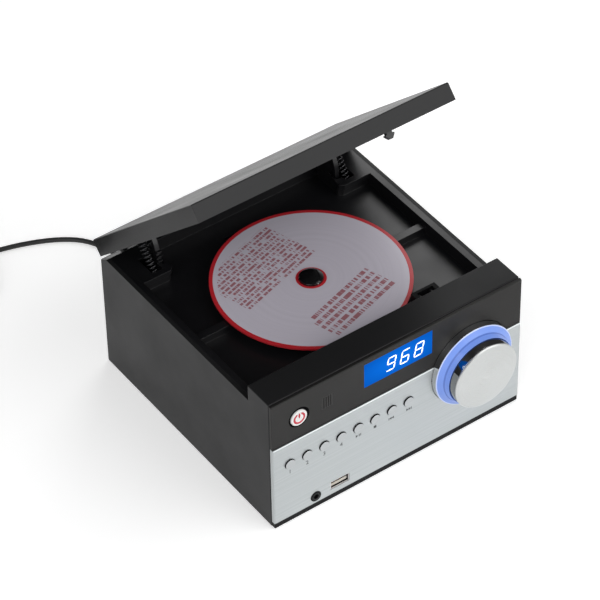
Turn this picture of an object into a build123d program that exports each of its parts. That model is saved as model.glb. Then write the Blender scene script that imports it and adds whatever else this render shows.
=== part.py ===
"""Compact disc radio: a small black box with a lift-up lid over the disc well, built in millimetres.

X runs to the right seen from the front, Y to the back and Z up. The origin is on the table, under the
middle of the set with its lid open and its volume knob in place. The lid is drawn open, at its stop.
"""
from build123d import *
import math
import os

os.makedirs("parts", exist_ok=True)

# Cabinet
body_w = 178.0
body_d = 176.5
rim_h = 87.0
lid_h = 11.5
bar_h = rim_h + lid_h
bar_d = 24.0
wall = 2.5
skirt_z = 0.9
rear_run = 7.5
rear_drop = 5.0
corner_r = 2.0
edge_r = 0.8
fit_gap = 0.2

# Front panels
panel_t = 3.0
groove = 0.4
seam_drop = 34.3
seam_z = bar_h - seam_drop
plinth_top = 4.8
display_back = 1.0
frame_t = 3.0
top_reveal = 0.5

# Lid and hinge
lid_clear = 0.4
lid_front_gap = 1.4
lid_skin = 2.0
lid_wall = 2.2
hinge_in = 3.2
hinge_up = 1.1
open_angle = 43.7
liner_recess = 3.6
liner_t = 2.0
pin_r = 1.25
pin_clear = 0.05
knuckle_r = 3.0

# Compact disc and its well
disc_r = 60.0
disc_bore_r = 7.5
disc_t = 1.2
disc_sink = 1.8
disc_top = rim_h - disc_sink
disc_gap = 2.1
disc_y = bar_d + disc_gap + disc_r
rim_w = 4.2
well_depth = 9.0
well_floor = rim_h - well_depth
deck_t = 2.0
rib_w = 5.2
rib_h = 5.0
platform_w = 21.5
platform_l = 34.3

# Volume knob
knob_in = 37.5
knob_x = body_w / 2 - knob_in
knob_drop = 9.7
knob_z = seam_z - knob_drop
knob_r = 22.4
knob_reach = 16.0
ring_r = 28.0
ring_rise = 3.6
ring_reach = 9.8
shaft_r = 3.0

# Buttons
key_count = 8
key_in = 11.3
key_x = key_in - body_w / 2
key_spare = 16.85
key_pitch = (knob_x - ring_r - key_spare - key_x) / (key_count - 1)
key_drop = 16.0
key_z = seam_z - key_drop
key_r = 3.4
key_rise = 0.9
key_travel = 0.8
key_clear = 0.25
power_in = 18.6
power_x = power_in - body_w / 2
power_drop = 18.1
power_z = bar_h - power_drop
power_r = 5.5

# Display, sockets and window
lcd_x = -0.2
lcd_drop = 13.2
lcd_z = bar_h - lcd_drop
lcd_w = 48.6
lcd_h = 18.0
eye_step = 20.0
eye_x = power_x + eye_step
eye_drop = 17.5
eye_z = bar_h - eye_drop
eye_w = 8.0
eye_h = 9.2
jack_in = 29.0
jack_x = jack_in - body_w / 2
usb_step = 17.2
usb_x = jack_x + usb_step
usb_z = 12.2
usb_w = 13.6
usb_h = 6.2
jack_z = 10.4
jack_r = 3.6
jack_bore_r = 1.8
jack_depth = 14.0
jack_box = 9.0

# Places worked out from the sizes above
angle = math.radians(open_angle)
hinge_run = body_d - hinge_in
lid_reach = hinge_run + hinge_in * math.cos(angle) + (bar_h - rim_h - hinge_up) * math.sin(angle)
front = -(lid_reach - knob_reach) / 2
back = front + body_d
hinge_y = front + hinge_run
hinge_z = rim_h + hinge_up
shell_y = front + panel_t + groove
bar_y = front + bar_d
in_x = body_w / 2 - wall
hub_y = front + disc_y
print(f"front plane at y = {front:.2f}, hinge at y = {hinge_y:.2f}, z = {hinge_z:.2f}")

# The lid's own plane: its X is the hinge axis, its Y runs to the back of the lid and its Z up through it
lid_plane = Plane(
    origin=(0, hinge_y, hinge_z),
    x_dir=(1, 0, 0),
    z_dir=(0, math.sin(angle), math.cos(angle)),
)


lid_up = Axis((0, hinge_y, hinge_z), (0, math.sin(angle), math.cos(angle)))


def front_plane(depth):
    """A plane facing the viewer, `depth` behind the front of the set. Its X and Y are world X and Z."""
    return Plane(origin=(0, front + depth, 0), x_dir=(1, 0, 0), z_dir=(0, -1, 0))


def side_plane(x):
    """A plane facing +X at `x`. Its X and Y are world Y and Z."""
    return Plane(origin=(x, 0, 0), x_dir=(0, 1, 0), z_dir=(1, 0, 0))


def lid_side(x):
    """The lid's section plane at `x`, with its X along the lid to the back and its Y up through it."""
    return Plane(
        origin=(x, hinge_y, hinge_z),
        x_dir=(0, math.cos(angle), -math.sin(angle)),
        z_dir=(1, 0, 0),
    )


def lid_face(y):
    """A plane across the lid, `y` along it from the hinge. Its X is world X and its Y runs up through the lid."""
    down = (0, -math.cos(angle), math.sin(angle))
    return Plane(origin=(lid_plane.origin - Vector(down) * y), x_dir=(1, 0, 0), z_dir=down)


def dome_arc(rim_r, rim_z, crown_z):
    """The middle and the crown of an arc that rises from a rim to the axis, square to it."""
    rise = crown_z - rim_z
    ball_r = (rim_r * rim_r + rise * rise) / (2 * rise)
    half = math.asin(rim_r / ball_r) / 2
    return (ball_r * math.sin(half), crown_z - ball_r * (1 - math.cos(half))), (0, crown_z)


def finish(piece, name):
    """Label a finished piece and write it."""
    piece.part.label = name
    export_step(piece.part, f"parts/{name}.step")


# Cabinet shell: sides, rear wall and the hollow bar across the front, open below and in front
deck_under = well_floor - deck_t
boss_r = 3.6
boss_hole_r = 1.3
boss_x = in_x - boss_r + 0.4
boss_ys = (shell_y + boss_r + 12, back - wall - boss_r + 0.4)
panel_open_w = body_w - 28
panel_open_h = 50.0
panel_open_z = 34.0
back_panel_t = 2.0
base_z = 1.6
base_t = 2.4

with BuildPart() as cabinet:
    with BuildSketch(Plane.YZ):
        with BuildLine():
            Polyline(
                (shell_y, skirt_z),
                (back, skirt_z),
                (back, rim_h - rear_drop),
                (back - rear_run, rim_h),
                (bar_y, rim_h),
                (bar_y, bar_h),
                (shell_y, bar_h),
                close=True,
            )
        make_face()
    extrude(amount=body_w / 2, both=True)
    fillet(cabinet.edges().filter_by(Axis.Z).group_by(Axis.Y)[-1], corner_r)
    fillet(cabinet.faces().sort_by(Axis.Z)[-1].edges().filter_by(Axis.Y), edge_r)
    fillet(cabinet.faces().sort_by(Axis.Z)[-1].edges().filter_by(Axis.X), edge_r)
    with BuildSketch(Plane.XY.offset(skirt_z)):
        with Locations((0, (shell_y + back - wall) / 2)):
            Rectangle(2 * in_x, back - wall - shell_y)
    extrude(amount=deck_under - skirt_z, mode=Mode.SUBTRACT)
    with BuildSketch(Plane.XY.offset(deck_under)):
        with Locations((0, (shell_y + bar_y - wall) / 2)):
            Rectangle(2 * in_x, bar_y - wall - shell_y)
    extrude(amount=bar_h - wall - deck_under, mode=Mode.SUBTRACT)
    with BuildSketch(Plane.XY.offset(deck_under)):
        with Locations((0, (bar_y + back - wall) / 2)):
            Rectangle(2 * in_x, back - wall - bar_y)
    extrude(amount=bar_h, mode=Mode.SUBTRACT)
    with BuildSketch(Plane(origin=(0, back, 0), x_dir=(1, 0, 0), z_dir=(0, -1, 0))):
        with Locations((0, panel_open_z)):
            RectangleRounded(panel_open_w, panel_open_h, 3)
    extrude(amount=wall, mode=Mode.SUBTRACT)
    with BuildSketch(Plane.XY.offset(base_z + base_t)):
        for boss_y in boss_ys:
            with Locations((-boss_x, boss_y), (boss_x, boss_y)):
                Circle(boss_r)
    extrude(amount=deck_under - base_z - base_t)
    with BuildSketch(Plane.XY.offset(base_z + base_t)):
        for boss_y in boss_ys:
            with Locations((-boss_x, boss_y), (boss_x, boss_y)):
                Circle(boss_hole_r)
    extrude(amount=14, mode=Mode.SUBTRACT)
finish(cabinet, "cabinet")

# Base plate, let into the cabinet, with vents, foot recesses and posts for the boards above it
foot_r = 6.5
foot_sink = 0.6
foot_x = body_w / 2 - 18
foot_ys = (front + 20, back - 18)
screw_r = 1.2
screw_head_r = 2.6
vent_count = 9
vent_pitch = 8.0
post_r = 2.5
board_z = 12.0
board_x = 25.0
board_y0 = front + 52
board_w = 96.0
board_l = 96.0
board_posts = [
    (board_x + i * (board_w / 2 - 5), board_y0 + board_l / 2 + j * (board_l / 2 - 5))
    for i in (-1, 1)
    for j in (-1, 1)
]

with BuildPart() as base_plate:
    with BuildSketch(Plane.XY.offset(base_z)):
        with Locations((0, (shell_y + back - wall) / 2)):
            RectangleRounded(2 * (in_x - fit_gap), back - wall - shell_y - 2 * fit_gap, 1)
    extrude(amount=base_t)
    with BuildSketch(Plane.XY.offset(base_z)):
        for foot_y in foot_ys:
            with Locations((-foot_x, foot_y), (foot_x, foot_y)):
                Circle(foot_r + 0.1)
    extrude(amount=foot_sink, mode=Mode.SUBTRACT)
    with BuildSketch(Plane.XY.offset(base_z + base_t)):
        with Locations(*board_posts):
            Circle(post_r)
    extrude(amount=board_z - base_z - base_t)
    with BuildSketch(Plane.XY.offset(base_z)):
        with Locations((0, hub_y)):
            with GridLocations(vent_pitch, 1, vent_count, 1):
                SlotOverall(30, 3, rotation=90)
        for boss_y in boss_ys:
            with Locations((-boss_x, boss_y), (boss_x, boss_y)):
                Circle(screw_r + 0.3)
    extrude(amount=base_t, mode=Mode.SUBTRACT)
finish(base_plate, "base_plate")

with BuildPart() as feet:
    with BuildSketch():
        for foot_y in foot_ys:
            with Locations((-foot_x, foot_y), (foot_x, foot_y)):
                Circle(foot_r)
    extrude(amount=base_z + foot_sink)
    chamfer(feet.faces().group_by(Axis.Z)[0].edges(), 0.4)
finish(feet, "feet")

with BuildPart() as case_screws:
    with BuildSketch(Plane.XY.offset(base_z - 1.0)):
        for boss_y in boss_ys:
            with Locations((-boss_x, boss_y), (boss_x, boss_y)):
                Circle(screw_head_r)
    extrude(amount=1.0)
    with BuildSketch(Plane.XY.offset(base_z)):
        for boss_y in boss_ys:
            with Locations((-boss_x, boss_y), (boss_x, boss_y)):
                Circle(screw_r)
    extrude(amount=12)
finish(case_screws, "case_screws")

# Rear panel with vents, two phono sockets and the hole for the mains lead
lead_x = -30.0
lead_z = 20.0
lead_hole_r = 4.0
phono_x = 42.0
phono_z = 24.0
phono_pitch = 16.0
phono_r = 4.1
rear_vents = 12

with BuildPart() as rear_panel:
    with BuildSketch(Plane(origin=(0, back - wall, 0), x_dir=(1, 0, 0), z_dir=(0, -1, 0))):
        with Locations((0, panel_open_z)):
            RectangleRounded(panel_open_w + 6, panel_open_h + 6, 3)
    extrude(amount=back_panel_t - 0.4)
    with BuildSketch(Plane(origin=(0, back - wall, 0), x_dir=(1, 0, 0), z_dir=(0, 1, 0))):
        with Locations((0, -panel_open_z)):
            RectangleRounded(panel_open_w - 2 * fit_gap, panel_open_h - 2 * fit_gap, 3)
    extrude(amount=wall - 0.5)
    with BuildSketch(Plane(origin=(0, back, 0), x_dir=(1, 0, 0), z_dir=(0, -1, 0))):
        with Locations((lead_x, lead_z)):
            Circle(lead_hole_r)
        with Locations((phono_x, phono_z)):
            with GridLocations(phono_pitch, 1, 2, 1):
                Circle(phono_r + 0.15)
        with Locations((0, panel_open_z + 16)):
            with GridLocations(6.5, 1, rear_vents, 1):
                SlotOverall(18, 2.4, rotation=90)
    extrude(amount=wall + back_panel_t, mode=Mode.SUBTRACT)
finish(rear_panel, "rear_panel")

with BuildPart() as phono_sockets:
    with BuildSketch(Plane(origin=(0, back - 12, 0), x_dir=(1, 0, 0), z_dir=(0, 1, 0))):
        with Locations((phono_x, -phono_z)):
            with GridLocations(phono_pitch, 1, 2, 1):
                Circle(phono_r)
    extrude(amount=12 + 3.5)
    with BuildSketch(Plane(origin=(0, back - 20, 0), x_dir=(1, 0, 0), z_dir=(0, 1, 0))):
        with Locations((phono_x, -phono_z)):
            Rectangle(phono_pitch + 12, 12)
    extrude(amount=20 - wall - back_panel_t)
    with BuildSketch(Plane(origin=(0, back + 3.5, 0), x_dir=(1, 0, 0), z_dir=(0, -1, 0))):
        with Locations((phono_x, phono_z)):
            with GridLocations(phono_pitch, 1, 2, 1):
                Circle(1.65)
    extrude(amount=9, mode=Mode.SUBTRACT)
finish(phono_sockets, "phono_sockets")

# Front frame: the black moulding that holds both front panels, with the plinth along its foot
frame_w = 2 * (in_x - fit_gap)
frame_top = bar_h - wall - fit_gap
frame_boss_x = body_w / 2 - 11
frame_boss_zs = (key_z - 12.2, bar_h - 8.5)
key_xs = [key_x + i * key_pitch for i in range(key_count)]
flange_r = key_r + 1.0
stem_r = 1.6
board_y = 11.0

with BuildPart() as front_frame:
    with BuildSketch(front_plane(panel_t)):
        with Locations((0, (plinth_top + bar_h - top_reveal) / 2)):
            Rectangle(body_w - 2, bar_h - top_reveal - plinth_top - 2)
    extrude(amount=-groove)
    with BuildSketch(front_plane(panel_t + groove)):
        with Locations((0, (frame_top + base_z + base_t + fit_gap) / 2)):
            Rectangle(frame_w, frame_top - base_z - base_t - fit_gap)
    extrude(amount=-(frame_t - groove))
    with BuildSketch(front_plane(panel_t + frame_t)):
        for boss_z in frame_boss_zs:
            with Locations((-frame_boss_x, boss_z), (frame_boss_x, boss_z)):
                Circle(post_r)
    extrude(amount=-(board_y - panel_t - frame_t))
    with BuildSketch(front_plane(0.6)):
        with Locations((0, (skirt_z + plinth_top) / 2)):
            Rectangle(body_w - 0.6, plinth_top - skirt_z)
    extrude(amount=-(panel_t - 0.6 + groove))
    with BuildSketch(front_plane(0)):
        with Locations((lcd_x, lcd_z)):
            Rectangle(lcd_w - 3, lcd_h - 3)
        with Locations((eye_x, eye_z)):
            Circle(3)
        with Locations((power_x, power_z)):
            Circle(power_r + 1.6)
        with Locations(*[(x, key_z) for x in key_xs]):
            Circle(flange_r + key_clear)
        with Locations((knob_x, knob_z)):
            Circle(5.5)
        with Locations((usb_x, usb_z)):
            Rectangle(usb_w, usb_h)
        with Locations((jack_x, jack_z)):
            Circle(jack_r + 0.1)
    extrude(amount=-(panel_t + frame_t + 1), mode=Mode.SUBTRACT)
finish(front_frame, "front_frame")

# Display panel, the upper and darker of the two
with BuildPart() as display_panel:
    with BuildSketch(front_plane(display_back)):
        with Locations((0, (seam_z + fit_gap + bar_h - top_reveal) / 2)):
            Rectangle(body_w, bar_h - top_reveal - seam_z - fit_gap)
    extrude(amount=-(panel_t - display_back))
    chamfer(display_panel.faces().sort_by(Axis.Y)[0].edges().group_by(Axis.Z)[-1], 0.5)
    with BuildSketch(front_plane(0)):
        with Locations((lcd_x, lcd_z)):
            Rectangle(lcd_w, lcd_h)
        with Locations((eye_x, eye_z)):
            Rectangle(eye_w, eye_h)
        with Locations((power_x, power_z)):
            Circle(power_r + key_clear)
        with Locations((knob_x, knob_z)):
            Circle(ring_r + fit_gap)
    extrude(amount=-(panel_t + 1), mode=Mode.SUBTRACT)
finish(display_panel, "display_panel")

# Silver panel, the lower one, standing a little proud of the display panel
with BuildPart() as silver_panel:
    with BuildSketch(front_plane(0)):
        with Locations((0, (plinth_top + seam_z) / 2)):
            Rectangle(body_w, seam_z - plinth_top)
    extrude(amount=-panel_t)
    chamfer(silver_panel.faces().sort_by(Axis.Y)[0].edges(), 0.5)
    with BuildSketch(front_plane(-1)):
        with Locations(*[(x, key_z) for x in key_xs]):
            Circle(key_r + key_clear)
        with Locations((knob_x, knob_z)):
            Circle(ring_r + fit_gap)
        with Locations((usb_x, usb_z)):
            RectangleRounded(usb_w, usb_h, 0.4)
        with Locations((jack_x, jack_z)):
            Circle(jack_r + 0.1)
    extrude(amount=-(panel_t + 2), mode=Mode.SUBTRACT)
finish(silver_panel, "silver_panel")

# Display window, its lit module behind, and the remote control window with its upright ribs
with BuildPart() as lcd_window:
    with BuildSketch(front_plane(display_back)):
        with Locations((lcd_x, lcd_z)):
            Rectangle(lcd_w - 0.1, lcd_h - 0.1)
    extrude(amount=-(panel_t - display_back - 0.2))
finish(lcd_window, "lcd_window")

with BuildPart() as lcd_module:
    with BuildSketch(front_plane(panel_t + frame_t + 0.1)):
        with Locations((lcd_x, lcd_z - 1)):
            Rectangle(lcd_w + 4, lcd_h + 2)
    extrude(amount=-(board_y - panel_t - frame_t - 0.2))
finish(lcd_module, "lcd_module")

eye_ribs = 5
with BuildPart() as remote_window:
    with BuildSketch(front_plane(display_back)):
        with Locations((eye_x, eye_z)):
            Rectangle(eye_w - 0.1, eye_h - 0.1)
    extrude(amount=-(panel_t - display_back - 0.2))
    with BuildSketch(front_plane(display_back)):
        with Locations((eye_x, eye_z)):
            with GridLocations(eye_w / eye_ribs, 1, eye_ribs - 1, 1):
                Rectangle(0.5, eye_h - 1)
    extrude(amount=-0.5, mode=Mode.SUBTRACT)
finish(remote_window, "remote_window")

# Buttons: a cap with a rounded face, a flange that keeps it in, and a stem towards its switch
flange_at = panel_t + 0.15
flange_t = 1.0
stem_end = 6.0

with BuildPart() as power_button:
    with BuildSketch(front_plane(display_back - key_rise)):
        with Locations((power_x, power_z)):
            Circle(power_r)
    extrude(amount=-(flange_at + 0.5 - display_back + key_rise))
    fillet(power_button.faces().sort_by(Axis.Y)[0].edges(), 0.5)
    with BuildSketch(front_plane(flange_at)):
        with Locations((power_x, power_z)):
            Circle(power_r + 1.2)
    extrude(amount=-flange_t)
    with BuildSketch(front_plane(flange_at + flange_t)):
        with Locations((power_x, power_z)):
            Circle(stem_r)
    extrude(amount=-(stem_end - flange_at - flange_t))
finish(power_button, "power_button")

for number, x in enumerate(key_xs, start=1):
    with BuildPart() as key:
        with BuildSketch(front_plane(-key_rise)):
            with Locations((x, key_z)):
                Circle(key_r)
        extrude(amount=-(flange_at + 0.5 + key_rise))
        fillet(key.faces().sort_by(Axis.Y)[0].edges(), 0.5)
        with BuildSketch(front_plane(flange_at)):
            with Locations((x, key_z)):
                Circle(flange_r)
        extrude(amount=-flange_t)
        with BuildSketch(front_plane(flange_at + flange_t)):
            with Locations((x, key_z)):
                Circle(stem_r)
        extrude(amount=-(stem_end - flange_at - flange_t))
    finish(key, f"key_{number}")

# Front circuit board with a push switch behind each button
switch_xz = [(x, key_z) for x in key_xs] + [(power_x, power_z)]
plunger_gap = key_travel + 0.1
switch_t = 3.2
board_low = key_z - 16.2
board_high = lcd_z + 6.7

with BuildPart() as front_board:
    with BuildSketch(front_plane(board_y)):
        with Locations((0, (board_low + board_high) / 2)):
            Rectangle(2 * (in_x - 3), board_high - board_low)
        with Locations((knob_x, knob_z)):
            Circle(4.8, mode=Mode.SUBTRACT)
    extrude(amount=-1.6)
finish(front_board, "front_board")

with BuildPart() as push_switches:
    with BuildSketch(front_plane(board_y - switch_t)):
        with Locations(*switch_xz):
            Rectangle(6, 6)
    extrude(amount=-switch_t)
    with BuildSketch(front_plane(stem_end + plunger_gap)):
        with Locations(*switch_xz):
            Circle(1.7)
    extrude(amount=-(board_y - switch_t - stem_end - plunger_gap))
finish(push_switches, "push_switches")

# Volume knob: silver cap, bright skirt, shaft and encoder, inside a stepped translucent ring
knob_axis = Plane(origin=(knob_x, front, knob_z), x_dir=(1, 0, 0), z_dir=(0, 0, 1))

with BuildPart() as light_ring:
    with BuildSketch(knob_axis):
        with BuildLine():
            Polyline(
                (knob_r + 0.5, panel_t),
                (ring_r, panel_t),
                (ring_r, -ring_rise),
                (ring_r - 3.8, -ring_rise - 2.4),
                (ring_r - 4.1, -ring_rise - 3.2),
                (knob_r + 0.5, -ring_reach),
                close=True,
            )
        make_face()
    revolve(axis=Axis((knob_x, front, knob_z), (0, 1, 0)))
finish(light_ring, "light_ring")

cap_t = 1.3
shaft_bore_r = shaft_r + 0.02
shaft_reach = 10.0
with BuildPart() as knob_skirt:
    with BuildSketch(knob_axis):
        with BuildLine():
            Polyline(
                (0, cap_t - knob_reach),
                (knob_r, cap_t - knob_reach),
                (knob_r, panel_t - 0.8),
                (knob_r - 1.6, panel_t - 0.8),
                (knob_r - 1.6, cap_t - knob_reach + 2),
                (6, cap_t - knob_reach + 2),
                (6, -2),
                (shaft_bore_r, -2),
                (shaft_bore_r, -shaft_reach),
                (0, -shaft_reach),
                close=True,
            )
        make_face()
    revolve(axis=Axis((knob_x, front, knob_z), (0, 1, 0)))
finish(knob_skirt, "knob_skirt")

with BuildPart() as knob_cap:
    with BuildSketch(knob_axis):
        with BuildLine():
            Polyline(
                (0, cap_t - knob_reach),
                (0, 0.5 - knob_reach),
                (knob_r - 1.6, -knob_reach),
                (knob_r - 0.5, 0.3 - knob_reach),
                (knob_r, 0.8 - knob_reach),
                (knob_r, cap_t - knob_reach),
                close=True,
            )
        make_face()
    revolve(axis=Axis((knob_x, front, knob_z), (0, 1, 0)))
finish(knob_cap, "knob_cap")

with BuildPart() as encoder_shaft:
    with BuildSketch(front_plane(-shaft_reach)):
        with Locations((knob_x, knob_z)):
            Circle(shaft_r)
    extrude(amount=-(board_y + 2.4 + shaft_reach))
finish(encoder_shaft, "encoder_shaft")

with BuildPart() as encoder_body:
    with BuildSketch(front_plane(board_y + 1.6)):
        with Locations((knob_x, knob_z)):
            Rectangle(12.5, 13.5)
    extrude(amount=-6.5)
    with BuildSketch(front_plane(4)):
        with Locations((knob_x, knob_z)):
            Circle(4.6)
    extrude(amount=-(board_y + 1.6 - 4))
    with BuildSketch(front_plane(4)):
        with Locations((knob_x, knob_z)):
            Circle(shaft_r + pin_clear)
    extrude(amount=-(board_y + 2.6 - 4), mode=Mode.SUBTRACT)
finish(encoder_body, "encoder_body")

# Sockets along the foot of the silver panel
usb_shell_w = 13.2
usb_shell_h = 5.8
usb_wall = 0.4
usb_depth = 14.0

with BuildPart() as usb_shell:
    with BuildSketch(front_plane(0.3)):
        with Locations((usb_x, usb_z)):
            Rectangle(usb_shell_w, usb_shell_h)
    extrude(amount=-usb_depth)
    with BuildSketch(front_plane(0.3)):
        with Locations((usb_x, usb_z)):
            Rectangle(usb_shell_w - 2 * usb_wall, usb_shell_h - 2 * usb_wall)
    extrude(amount=-(usb_depth - 1.5), mode=Mode.SUBTRACT)
finish(usb_shell, "usb_shell")

with BuildPart() as usb_tongue:
    with BuildSketch(front_plane(1.6)):
        with Locations((usb_x, usb_z - usb_shell_h / 2 + usb_wall + 1.15)):
            Rectangle(usb_shell_w - 2 * usb_wall - 0.6, 1.9)
    extrude(amount=-(usb_depth - 1.5 + 0.3 - 1.6))
finish(usb_tongue, "usb_tongue")

with BuildPart() as jack_socket:
    with BuildSketch(front_plane(-0.3)):
        with Locations((jack_x, jack_z)):
            Circle(jack_r)
    extrude(amount=-(panel_t + frame_t + 0.3))
    with BuildSketch(front_plane(panel_t + frame_t)):
        with Locations((jack_x, jack_z)):
            Rectangle(jack_box, jack_box)
    extrude(amount=-(jack_depth - panel_t - frame_t + 1.5))
    with BuildSketch(front_plane(-0.3)):
        with Locations((jack_x, jack_z)):
            Circle(jack_bore_r)
    extrude(amount=-jack_depth, mode=Mode.SUBTRACT)
finish(jack_socket, "jack_socket")

# Deck: the moulded well under the lid, with its ribs, two rear platforms, hinge ears and openings
well_x = in_x - rim_w
deck_back = back - wall
rear_rim_y = deck_back - 8
slope = rear_drop / rear_run
platform_x = well_x - platform_w
platform_front = hinge_y - platform_l
platform_edge = 3.6
platform_wall = 1.6
inset = 1.5
ear_in = platform_x - 0.5
ear_out = platform_x + 15.2
ear_t = 3.0
knuckle_w = ear_out - ear_in - 2 * ear_t - 0.6
knuckle_x = (ear_in + ear_out) / 2
arm_x = platform_x + 3.7
arm_t = 3.0
arm_r_in = 21.0
arm_pitch_r = 25.0
spring_x = platform_x + 9.2
spring_r = 2.55
wire_d = 0.9
hub_hole_r = 16.0
slot_w = 34.0
slot_y0 = hub_y + 11.9
slot_y1 = hub_y + 65.9
latch_x = 44.0
latch_y = bar_y + 8.3
latch_w = 17.0
latch_l = 8.4
gear_angle = math.radians(35)
gear_r = 5.0
gear_y = hinge_y - (arm_pitch_r + gear_r) * math.cos(gear_angle)
gear_z = hinge_z - (arm_pitch_r + gear_r) * math.sin(gear_angle)
seat_y = platform_front + 4.6
seat_z = rim_h - 7.2
post_half = 3.2
stop_r = 28.4
stop_angles = (6, 13, 20, 28, 35.5)


def round_hinge(radius, degrees):
    """A point in a side plane, `radius` from the hinge and `degrees` below its level, to the front."""
    turn = math.radians(degrees)
    return (hinge_y - radius * math.cos(turn), hinge_z - radius * math.sin(turn))


# The spring stands between its seat in the deck and a point under the lid
spring_top_in = 17.5
liner_z = liner_recess - 0.7
top_y = hinge_y - spring_top_in * math.cos(angle) + liner_z * math.sin(angle)
top_z = hinge_z + spring_top_in * math.sin(angle) + liner_z * math.cos(angle)
spring_len = math.hypot(top_y - seat_y, top_z - seat_z)
lean = (0, (top_y - seat_y) / spring_len, (top_z - seat_z) / spring_len)

with BuildPart() as deck:
    with BuildSketch(side_plane(0)):
        with BuildLine():
            Polyline(
                (bar_y, deck_under),
                (deck_back, deck_under),
                (deck_back, rim_h - slope * (rear_run - wall)),
                (back - rear_run, rim_h),
                (bar_y, rim_h),
                close=True,
            )
        make_face()
    extrude(amount=in_x, both=True)
    with BuildSketch(Plane.XY.offset(well_floor)):
        with Locations((0, (bar_y + rear_rim_y) / 2)):
            Rectangle(2 * well_x, rear_rim_y - bar_y)
    extrude(amount=rim_h, mode=Mode.SUBTRACT)
    for side in (-1, 1):
        # Rib beside the disc
        with BuildSketch(Plane.XY.offset(well_floor)):
            with Locations((side * (well_x + disc_r - 5) / 2, hub_y)):
                Rectangle(well_x - disc_r + 5, rib_w)
        extrude(amount=rib_h)
        # Platform, overhanging its own front wall
        with BuildSketch(Plane.XY.offset(rim_h)):
            with BuildLine():
                Polyline(
                    (side * well_x, platform_front),
                    (side * (platform_x + 2.5), platform_front),
                    (side * platform_x, platform_front + 2.5),
                    (side * platform_x, rear_rim_y),
                    (side * well_x, rear_rim_y),
                    close=True,
                )
            make_face()
        extrude(amount=-platform_edge)
        with BuildSketch(Plane.XY.offset(well_floor)):
            with Locations((side * (platform_x + well_x) / 2, (platform_front + inset + rear_rim_y) / 2)):
                Rectangle(platform_w, rear_rim_y - platform_front - inset)
                chamfer(vertices().sort_by(lambda v: abs(v.X))[:2], 2.5)
        extrude(amount=rim_h - platform_edge - well_floor)
        # Hollow beneath the platform
        with BuildSketch(Plane.XY.offset(deck_under)):
            with Locations((side * (platform_x + well_x) / 2, (platform_front + inset + deck_t + rear_rim_y) / 2)):
                Rectangle(platform_w - 2 * platform_wall, rear_rim_y - platform_front - inset - deck_t)
        extrude(amount=rim_h - deck_t - deck_under, mode=Mode.SUBTRACT)
        # Slot for the arm and hole for the spring
        with BuildSketch(Plane.XY.offset(rim_h)):
            with Locations((side * arm_x, hinge_y - (arm_r_in + arm_pitch_r) / 2)):
                Rectangle(arm_t + 0.8, arm_pitch_r - arm_r_in + 4)
            with Locations((side * spring_x, seat_y + 7)):
                Rectangle(2 * spring_r + wire_d + 1.4, 15)
        extrude(amount=-deck_t - 1, mode=Mode.SUBTRACT)
        # Ears that carry the hinge pins
        for ear_x in (ear_in, ear_out - ear_t):
            with BuildSketch(side_plane(side * (ear_x + ear_t / 2))):
                with Locations((hinge_y, hinge_z)):
                    Circle(knuckle_r)
                with BuildLine():
                    Polyline(
                        (hinge_y - knuckle_r, hinge_z),
                        (hinge_y - knuckle_r, deck_under + 4),
                        (deck_back, deck_under + 4),
                        (deck_back, hinge_z),
                        close=True,
                    )
                make_face()
            extrude(amount=ear_t / 2, both=True)
        with BuildSketch(side_plane(side * knuckle_x)):
            with Locations((hinge_y, hinge_z)):
                Circle(pin_r)
        extrude(amount=(ear_out - ear_in) / 2 + 1, both=True, mode=Mode.SUBTRACT)
        # Post under the spring, square to it
        with BuildSketch(side_plane(side * spring_x)):
            with BuildLine():
                Polyline(
                    (seat_y - 3 * lean[2], seat_z + 3 * lean[1]),
                    (seat_y + 3 * lean[2], seat_z - 3 * lean[1]),
                    (seat_y + 3 * lean[2], deck_under),
                    (platform_front + 2, deck_under),
                    (platform_front + 2, seat_z + 3 * lean[1]),
                    close=True,
                )
            make_face()
        extrude(amount=post_half, both=True)
    # Stop for the arm on the right
    with BuildSketch(side_plane(arm_x)):
        with BuildLine():
            Polyline(
                *[round_hinge(arm_pitch_r + 0.9, turn) for turn in stop_angles],
                round_hinge(stop_r + 1.5, stop_angles[-1]),
                (platform_front + 2, deck_under),
                (platform_front + 2, rim_h - deck_t),
                close=True,
            )
        make_face()
    extrude(amount=arm_t / 2, both=True)
    # Openings in the floor for the hub, the pickup and the latch
    with BuildSketch(Plane.XY.offset(deck_under)):
        with Locations((0, hub_y)):
            Circle(hub_hole_r)
        with Locations((0, (slot_y0 + slot_y1) / 2)):
            Rectangle(slot_w, slot_y1 - slot_y0)
        with Locations((latch_x, latch_y)):
            Rectangle(latch_w + 0.4, latch_l + 0.4)
    extrude(amount=deck_t, mode=Mode.SUBTRACT)
finish(deck, "deck")

with BuildPart() as hinge_pins:
    for side in (-1, 1):
        with BuildSketch(side_plane(side * knuckle_x)):
            with Locations((hinge_y, hinge_z)):
                Circle(pin_r)
        extrude(amount=(ear_out - ear_in) / 2, both=True)
finish(hinge_pins, "hinge_pins")

# Lid shell, flush with the cabinet when shut
lid_bottom = rim_h + lid_clear - hinge_z
lid_top = bar_h - hinge_z
lid_front = -(hinge_run - bar_d - lid_front_gap)
notch_x = ear_in - 1.6
notch_w = ear_out + 1.0 - notch_x
notch_top = knuckle_r + 1.2

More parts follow.
